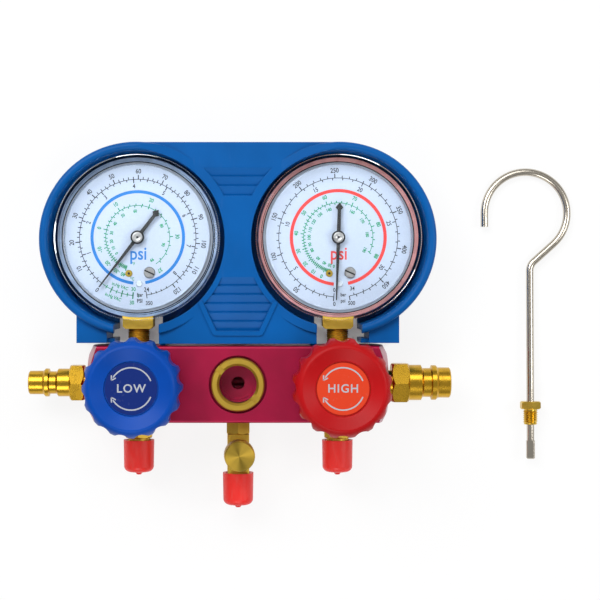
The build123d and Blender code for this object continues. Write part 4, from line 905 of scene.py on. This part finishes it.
def make_brasses(brass):
    """Turned brass for each axis that pieces are turned about; the nipples' is deeper and shinier."""
    nipple = tuple(part * share for part, share in zip(brass, (0.92, 0.8, 0.45)))
    for side in SIDES:
        port = Vector((middle(f"{side}_gauge_socket").x, 0.0, PORT_HEIGHT * MM))
        upright = (port.x, 0.0, 0.0)
        for way, base, roughness, axis, centre in (("x", nipple, 0.24, 0, port), ("y", brass, 0.46, 1, port),
                                                   ("z", brass, 0.46, 2, upright)):
            name = f"{side}_turned_brass_{way}"
            FINISHES[f"{side}_brass_{way}"] = turned_metal(name, base, roughness, axis, centre)
    tee = (0.0, 0.0, PORT_HEIGHT * MM)
    cap = middle("service_cap")
    nut = middle("hook_gland_nut")
    FINISHES.update(
        centre_brass_y=turned_metal("centre_turned_brass_y", brass, 0.42, 1, tee),
        ring_brass=turned_metal("ring_brass", brass, 0.38, 2, (0.0, 0.0, 0.0), depth=0.01),
        # the service cap's face gets the painted highlight of turned_metal
        cap_brass=turned_metal("service_cap_brass", shade(brass, 1.2), 0.4, 2, cap, depth=0.02, sheen=True),
        nut_brass=turned_metal("gland_nut_brass", brass, 0.28, 1, nut),
    )


def finish_of(node):
    """Finish of a node, from its name."""
    side = node.split("_")[0]
    rules = (
        ("gauge_cover", "cover"), ("manifold_block", "block"), ("gallery_plug", "steel"),
        ("knob_screw", "steel"), ("gasket", "rubber"), ("packing", "rubber"), ("cap_seal", "rubber"),
        ("sight_glass_ring", "ring_brass"), ("sight_glass", "glass"), ("gauge_lens", "lens"),
        ("dust_cap", "vinyl"), ("valve_knob", f"{side}_knob"), ("knob_label", f"{side}_label"),
        ("gauge_case", f"{side}_case"), ("gauge_dial", "dial"), ("gauge_pointer", "pointer"),
        ("dial_fastenings", f"{side}_fastenings"), ("seat_disc", "seat"), ("valve_spindle", "steel"),
        ("hook_rod", "nickel"), ("hook_gland_nut", "nut_brass"), ("service_cap", "cap_brass"),
        ("service_tee", "centre_brass_y"), ("side_nipple", f"{side}_brass_x"),
        ("hose_port", f"{side}_brass_y"), ("gauge_socket", f"{side}_brass_y"),
        ("valve_bonnet", f"{side}_brass_z"), ("", "bare_brass"),
    )
    return FINISHES[next(key for part, key in rules if part in node)]


class DialOperator(bpy.types.Operator):
    """Print the scales, numbers and rings of both dials"""

    bl_idname = "manifold.dials"
    bl_label = "Dial print"

    def execute(self, context):
        sizes = context.scene.manifold_sizes
        trees = {ink: bars_tree(f"ticks_{ink}", FINISHES[f"ink_{ink}"]) for ink in ("black", "green")}
        print_low(sizes, trees, FINISHES)
        print_high(sizes, trees, FINISHES)
        for side in SIDES:
            # painted shade in the recesses of each dial's screw and eyelet
            mark_fastenings(side, sizes, trees["black"])
        return {"FINISHED"}


def mark_fastenings(side, sizes, tree):
    """Painted shade: black sheets on the floor of a dial screw's slot and of its eyelet's bore, which lie in
    shade.
    """
    slot_long, slot_wide, bore_r = 5.0 * MM, 0.66 * MM, 0.58 * MM
    centre = middle(f"{side}_gauge_dial")
    slot = grown(tree, Count=1, First=math.radians(SCREW_SLOT_ANGLE), Step=0.0, Radius=0.0, Long=slot_long,
                 Wide=slot_wide, High=sizes.ink)
    bore = lathe([(0.0, sizes.ink), (bore_r, sizes.ink), (bore_r, 0.0), (0.0, 0.0)], 16)
    pieces = Pieces()
    for mesh, spot, lift in ((slot, SCREW, sizes.ink / 2), (bore, EYELET, 0.0)):
        place = centre + Vector(spot) * MM
        near = [vert.co.z for vert in frame["nodes"][f"{side}_dial_fastenings"].data.vertices
                if math.hypot(vert.co.x - place.x, vert.co.y - place.y) < (FASTENING_R + 0.2) * MM]
        ground = max(near) + (PRINT_LIFT - RECESS) * MM
        pieces.add(mesh, Matrix.Translation((place.x, place.y, ground + lift)))
    pieces.build(f"{side}_fastening_recess_shade", ROOT, FINISHES["ink_black"], "dial_white")


class PointerCapOperator(bpy.types.Operator):
    """Put a turned cap on each pointer's hub"""

    bl_idname = "manifold.pointer_caps"
    bl_label = "Pointer caps"

    def execute(self, context):
        outline = [(0.0, -0.1), (0.45, -0.1), (0.5, 0.1), (2.1, 0.12), (2.4, 0.0), (2.4, -0.3),
                   (0.0, -0.3)]
        for side in SIDES:
            centre = middle(f"{side}_gauge_dial")
            place = Matrix.Translation((centre.x, centre.y, top_of(f"{side}_gauge_pointer")))
            mesh = lathe([(r * MM, z * MM) for r, z in outline], 48)
            pieces = Pieces()
            pieces.add(mesh, place)
            pieces.build(f"{side}_pointer_cap", f"{side}_pointer_group", FINISHES["steel"], "nickel")
        return {"FINISHED"}


def lathe(outline, segments):
    """Closed mesh of an outline of (radius, height) points turned about the Z axis."""
    shape = bmesh.new()
    rows = []
    for radius, height in outline:
        if radius == 0.0:
            rows.append([shape.verts.new((0.0, 0.0, height))])
            continue
        rows.append([shape.verts.new((radius * math.cos(a), radius * math.sin(a), height))
                     for a in (2 * math.pi * k / segments for k in range(segments))])
    closed = outline[0][0] > 0.0
    for before, after in zip(rows, rows[1:] + ([rows[0]] if closed else [])):
        for k in range(segments):
            corners = (before[k % len(before)], before[(k + 1) % len(before)],
                       after[(k + 1) % len(after)], after[k % len(after)])
            corners = list(dict.fromkeys(corners))
            if len(corners) > 2:
                shape.faces.new(corners)
    bmesh.ops.recalc_face_normals(shape, faces=shape.faces)
    for face in shape.faces:
        face.smooth = True
    return mesh_of(shape, "turned")


class LabelOperator(bpy.types.Operator):
    """Print the word and the two turning arrows on each knob's label"""

    bl_idname = "manifold.labels"
    bl_label = "Knob labels"

    def execute(self, context):
        sizes = context.scene.manifold_sizes
        arrow_r, arrow_width, head_size = 9.2 * MM, 0.6 * MM, 1.5 * MM
        arrow_start, arrow_end = 22.0, 148.0
        edge_r, edge_width = 11.55 * MM, 0.3 * MM
        for side, slot in (("low", "blue_label"), ("high", "red_label")):
            centre = middle(f"{side}_knob_label")
            place = Matrix.Translation((centre.x, centre.y,
                                        top_of(f"{side}_knob_label") + PRINT_LIFT * MM))
            print_pieces = Pieces()
            print_pieces.add(lettering(side.upper(), 5.1 * MM, sizes.ink, squeeze=1.0, heavy=0.08 * MM,
                                       spacing=1.14), place)
            for sign in (1, -1):
                start, end = arrow_start * sign, arrow_end * sign
                print_pieces.add(flat_arc(arrow_r, arrow_width, start, end, sizes.ink), place)
                print_pieces.add(arrow_head(arrow_r, end, sign, head_size, sizes.ink), place)
            edge = Pieces()
            edge.add(flat_arc(edge_r, edge_width, 0.0, 359.9, sizes.ink), place)
            edge.build(f"{side}_label_edge", f"{side}_knob_group", FINISHES[f"{side}_knob"], slot)
            print_pieces.build(f"{side}_label_print", f"{side}_knob_group", FINISHES["silver"], slot)
        return {"FINISHED"}


def arrow_head(radius, degrees, sign, size, thick):
    """Flat open arrow head at the end of an arc, pointing on round it."""
    base = polar(radius, degrees)
    out = polar(1.0, degrees)
    on = polar(1.0, degrees + 90.0 * sign)
    tip = base + on * size * 0.9
    shape = bmesh.new()
    for way in (1.0, -1.0):
        barb = base + out * way * size * 0.75 - on * size * 0.35
        across = (tip - barb).normalized().cross(Vector((0.0, 0.0, 1.0))) * size * 0.18
        corners = (tip + across, tip - across, barb - across, barb + across)
        low = [shape.verts.new(corner) for corner in corners]
        high = [shape.verts.new(corner + Vector((0.0, 0.0, thick))) for corner in corners]
        shape.faces.new(low)
        shape.faces.new(high)
        for k in range(4):
            shape.faces.new((low[k], low[(k + 1) % 4], high[(k + 1) % 4], high[k]))
    return mesh_of(shape, "head")


class BandOperator(bpy.types.Operator):
    """Rib the lens bands and knurl the service cap"""

    bl_idname = "manifold.bands"
    bl_label = "Ribbed bands"

    def execute(self, context):
        sizes = context.scene.manifold_sizes
        ribbed_share, drop = 0.72, 0.4 * MM
        for side in SIDES:
            tree = ribs_tree(f"{side}_band_ribs", FINISHES[f"{side}_band"])
            low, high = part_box(f"{side}_gauge_lens")
            centre = (low + high) / 2
            mesh = grown(tree, Count=sizes.band_ribs, Radius=(high.x - low.x) / 2, Rib=sizes.rib_height,
                         High=(high.z - low.z) * ribbed_share)
            pieces = Pieces()
            pieces.add(mesh, Matrix.Translation((centre.x, centre.y, centre.z - drop)))
            pieces.build(f"{side}_lens_ribs", ROOT, FINISHES[f"{side}_band"], "lens_plastic")
        tree = ribs_tree("cap_ribs", FINISHES["cap_brass"])
        cap_r, cap_rib, cap_high, cap_along = 6.8 * MM, 0.2 * MM, 8.0 * MM, 15.6
        mesh = grown(tree, Count=sizes.cap_ribs, Radius=cap_r, Rib=cap_rib, High=cap_high)
        pieces = Pieces()
        pieces.add(mesh, along_axis(BRANCH_FOOT, BRANCH_AXIS, cap_along))
        pieces.build("service_cap_knurl", "service_cap_body", FINISHES["cap_brass"], "brass")
        return {"FINISHED"}


def along_axis(foot, axis, distance):
    """Matrix that takes the Z axis to an axis, at a distance in millimetres from its foot."""
    line = Vector(axis)
    turn = Vector((0, 0, 1)).rotation_difference(line).to_matrix().to_4x4()
    return Matrix.Translation((Vector(foot) + line * distance) * MM) @ turn


# a length of thread: its axis from a foot, its outer radius, where the cut starts and ends, where the
# ridge starts and ends and its pitch in metres; the other lengths are millimetres
Barrel = namedtuple("Barrel", "foot axis radius start end first last pitch")


class ThreadOperator(bpy.types.Operator):
    """Give the threaded pieces real helical threads"""

    bl_idname = "manifold.threads"
    bl_label = "Threads"

    def execute(self, context):
        sizes = context.scene.manifold_sizes
        tree = ridge_tree("thread_ridge", FINISHES["bare_brass"])
        block_low, block_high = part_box("manifold_block")
        axis_z = (block_low.z + block_high.z) / 2 / MM
        away, towards = (0.0, 1.0, 0.0), (0.0, -1.0, 0.0)
        pipe_r, flare_r, gland_r = 5.08, 5.56, 3.4
        for side in SIDES:
            x = middle(f"{side}_gauge_socket").x / MM
            stem = Barrel((x, block_high.y / MM, axis_z), away, pipe_r, start=-8.6, end=7.5, first=-0.6,
                          last=7.2, pitch=sizes.pipe_pitch)
            self.thread(f"{side}_gauge_socket", tree, (stem,))
            port = Barrel((x, block_low.y / MM, axis_z), towards, flare_r, start=8.0, end=17.8, first=8.9,
                          last=17.2, pitch=sizes.flare_pitch)
            self.thread(f"{side}_hose_port", tree, (port,))
        hose = Barrel((0.0, block_low.y / MM, axis_z), towards, flare_r, start=24.2, end=34.0, first=25.0,
                      last=33.4, pitch=sizes.flare_pitch)
        branch = Barrel(BRANCH_FOOT, BRANCH_AXIS, flare_r, start=8.55, end=16.95, first=9.3, last=16.2,
                        pitch=sizes.flare_pitch)
        self.thread("service_tee", tree, (hose, branch))
        gland = Barrel(NUT_FOOT, NUT_AXIS, gland_r, start=3.6, end=10.2, first=4.2, last=10.0,
                       pitch=sizes.gland_pitch)
        self.thread("hook_gland_nut", tree, (gland,))
        return {"FINISHED"}

    def thread(self, node, tree, barrels):
        """Replace a node by a copy whose barrels are cut down to the root and carry a helical ridge."""
        shape = bmesh.new()
        shape.from_mesh(frame["nodes"][node].data)
        bmesh.ops.remove_doubles(shape, verts=shape.verts, dist=0.0005 * MM)
        ridges = []
        for barrel in barrels:
            root = barrel.radius * MM - barrel.pitch / 2
            cut_barrel(shape, barrel, root)
            turns = (barrel.last - barrel.first) * MM / barrel.pitch
            mesh = grown(tree, Radius=root, Turns=turns, Pitch=barrel.pitch, Depth=barrel.pitch / 2)
            mesh.transform(along_axis(barrel.foot, barrel.axis, barrel.first))
            ridges.append(mesh)
        for mesh in ridges:
            shape.from_mesh(mesh)
            bpy.data.meshes.remove(mesh)
        smooth_by_angle(shape)
        made = mesh_of(shape, f"{node}_threaded")
        for polygon in made.polygons:
            polygon.material_index = 0
        body = frame["nodes"][node]["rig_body"]
        piece = piece_from(made, f"{node}_threaded", body, finish_of(node), "brass")
        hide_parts(node)


def cut_barrel(shape, barrel, root):
    """Bring a barrel's outer vertices in to the thread's root radius."""
    line = Vector(barrel.axis)
    slack, skin = 0.01 * MM, 0.03 * MM
    for vert in shape.verts:
        arm = vert.co - Vector(barrel.foot) * MM
        along = arm.dot(line)
        out = arm - line * along
        inside = barrel.start * MM - slack <= along <= barrel.end * MM + slack
        if inside and abs(out.length - barrel.radius * MM) < skin:
            vert.co -= out * (1 - root / out.length)


def smooth_by_angle(shape, degrees=32.0):
    """Shade smooth, with sharp edges where faces meet steeply."""
    for face in shape.faces:
        face.smooth = True
    for edge in shape.edges:
        edge.smooth = len(edge.link_faces) == 2 and edge.calc_face_angle(0.0) < math.radians(degrees)


class StageOperator(bpy.types.Operator):
    """Set up the floor, lamps, world and camera"""

    bl_idname = "manifold.stage"
    bl_label = "Stage"

    def execute(self, context):
        colours = context.scene.manifold_colours
        make_floor(colours.floor)
        make_world()
        lamp("key", (-0.4, 0.5, 0.75), size=0.5, watts=4.9)
        lamp("right", (0.65, 0.1, 0.6), size=0.3, watts=1.7)
        lamp("front", (-0.1, -0.6, 0.65), size=0.4, watts=2.0)
        lamp("top", (0.05, 0.62, 0.8), size=0.5, watts=2.2)
        make_camera(context)
        context.scene.view_settings.view_transform = "Standard"
        return {"FINISHED"}


def make_floor(tone):
    """Pale floor under the set that glows evenly white, its glow taken away as painted shade where ambient
    occlusion shows the set closing in round it.
    """
    half, gap, reach, glow = 3.0, 0.1 * MM, 0.045, 0.85
    mesh = bpy.data.meshes.new("floor")
    corners = [(-half, -half, 0.0), (half, -half, 0.0), (half, half, 0.0), (-half, half, 0.0)]
    mesh.from_pydata(corners, [], [(0, 1, 2, 3)])
    finish = Finish("floor")
    finish.set(base_color=opaque(tone), roughness=0.9, specular_ior_level=0.0)
    rays = finish.node("ShaderNodeLightPath")
    seen = Number(finish, rays.outputs["Is Camera Ray"])
    for way in ("Is Transmission Ray", "Is Glossy Ray"):
        seen = finish.maths("MAXIMUM", seen, Number(finish, rays.outputs[way]))
    # painted shade: the floor's white glow fades out where ambient occlusion is strong, in gaps under and
    # between parts
    occlusion = finish.node("ShaderNodeAmbientOcclusion", {"samples": 8}, {"Distance": reach})
    glow_outside_shade = finish.spread(Number(finish, occlusion.outputs["AO"]), 0.004, 0.016)
    white = finish.node("ShaderNodeEmission", None, {"Color": (1.0, 1.0, 1.0, 1.0), "Strength": 1.0})
    both = finish.node("ShaderNodeMixShader", None, {0: seen * glow * glow_outside_shade, 1: finish.shader.outputs[0],
                                                     2: white.outputs[0]})
    finish.plug(finish.out.inputs["Surface"], both.outputs[0])
    mesh.materials.append(finish.material)
    floor = bpy.data.objects.new("floor", mesh)
    floor.location.z = Vector(cad_bounds[0]).z - gap
    bpy.context.scene.collection.objects.link(floor)


def make_world():
    """Even, soft light from all round."""
    world = bpy.data.worlds.new("studio")
    world.use_nodes = True
    bpy.context.scene.world = world
    sky = world.node_tree.nodes["Background"]
    sky.inputs["Color"].default_value = (1.0, 1.0, 1.0, 1.0)
    sky.inputs["Strength"].default_value = 0.34


def lamp(name, place, size, watts):
    """A square soft box that looks at the set."""
    light = bpy.data.lights.new(name, "AREA")
    light.size = size
    light.energy = watts
    made = bpy.data.objects.new(name, light)
    made.location = place
    aim = Vector((0.0, 0.04, 0.02)) - Vector(place)
    made.rotation_euler = aim.to_track_quat("-Z", "Y").to_euler()
    bpy.context.scene.collection.objects.link(made)


def make_camera(context):
    """Camera straight above the set, with the set left of the middle."""
    view = bpy.data.cameras.new("camera")
    view.sensor_width = 36.0
    view.lens = 85.35
    view.shift_x = 0.0767
    view.shift_y = -0.0167
    view.clip_start = 0.01
    made = bpy.data.objects.new("camera", view)
    made.location = (7.33 * MM, 42.9 * MM, 675 * MM)
    context.scene.collection.objects.link(made)
    context.scene.camera = made


class MANIFOLD_PT_panel(bpy.types.Panel):
    """Buttons and settings of the set"""

    bl_label = "Manifold gauge"
    bl_space_type = "VIEW_3D"
    bl_region_type = "UI"
    bl_category = "Manifold"

    def draw(self, context):
        for group in (context.scene.manifold_sizes, context.scene.manifold_colours):
            column = self.layout.column()
            for name in group.bl_rna.properties.keys():
                if name not in ("rna_type", "name"):
                    column.prop(group, name)
        for operator in OPERATORS:
            self.layout.operator(operator.bl_idname)


OPERATORS = (FinishOperator, DialOperator, PointerCapOperator, LabelOperator, BandOperator, ThreadOperator,
             StageOperator)
CLASSES = (ManifoldSizes, ManifoldColours, *OPERATORS, MANIFOLD_PT_panel)


def register():
    """Add the settings, operators and panel."""
    for item in CLASSES:
        bpy.utils.register_class(item)
    bpy.types.Scene.manifold_sizes = bpy.props.PointerProperty(type=ManifoldSizes)
    bpy.types.Scene.manifold_colours = bpy.props.PointerProperty(type=ManifoldColours)


def unregister():
    """Take them away again."""
    del bpy.types.Scene.manifold_colours
    del bpy.types.Scene.manifold_sizes
    for item in reversed(CLASSES):
        bpy.utils.unregister_class(item)


def main():
    """Run every operator in order."""
    register()
    for name in ("finishes", "dials", "pointer_caps", "labels", "bands", "threads", "stage"):
        getattr(bpy.ops.manifold, name)()


if __name__ == "__main__":
    main()
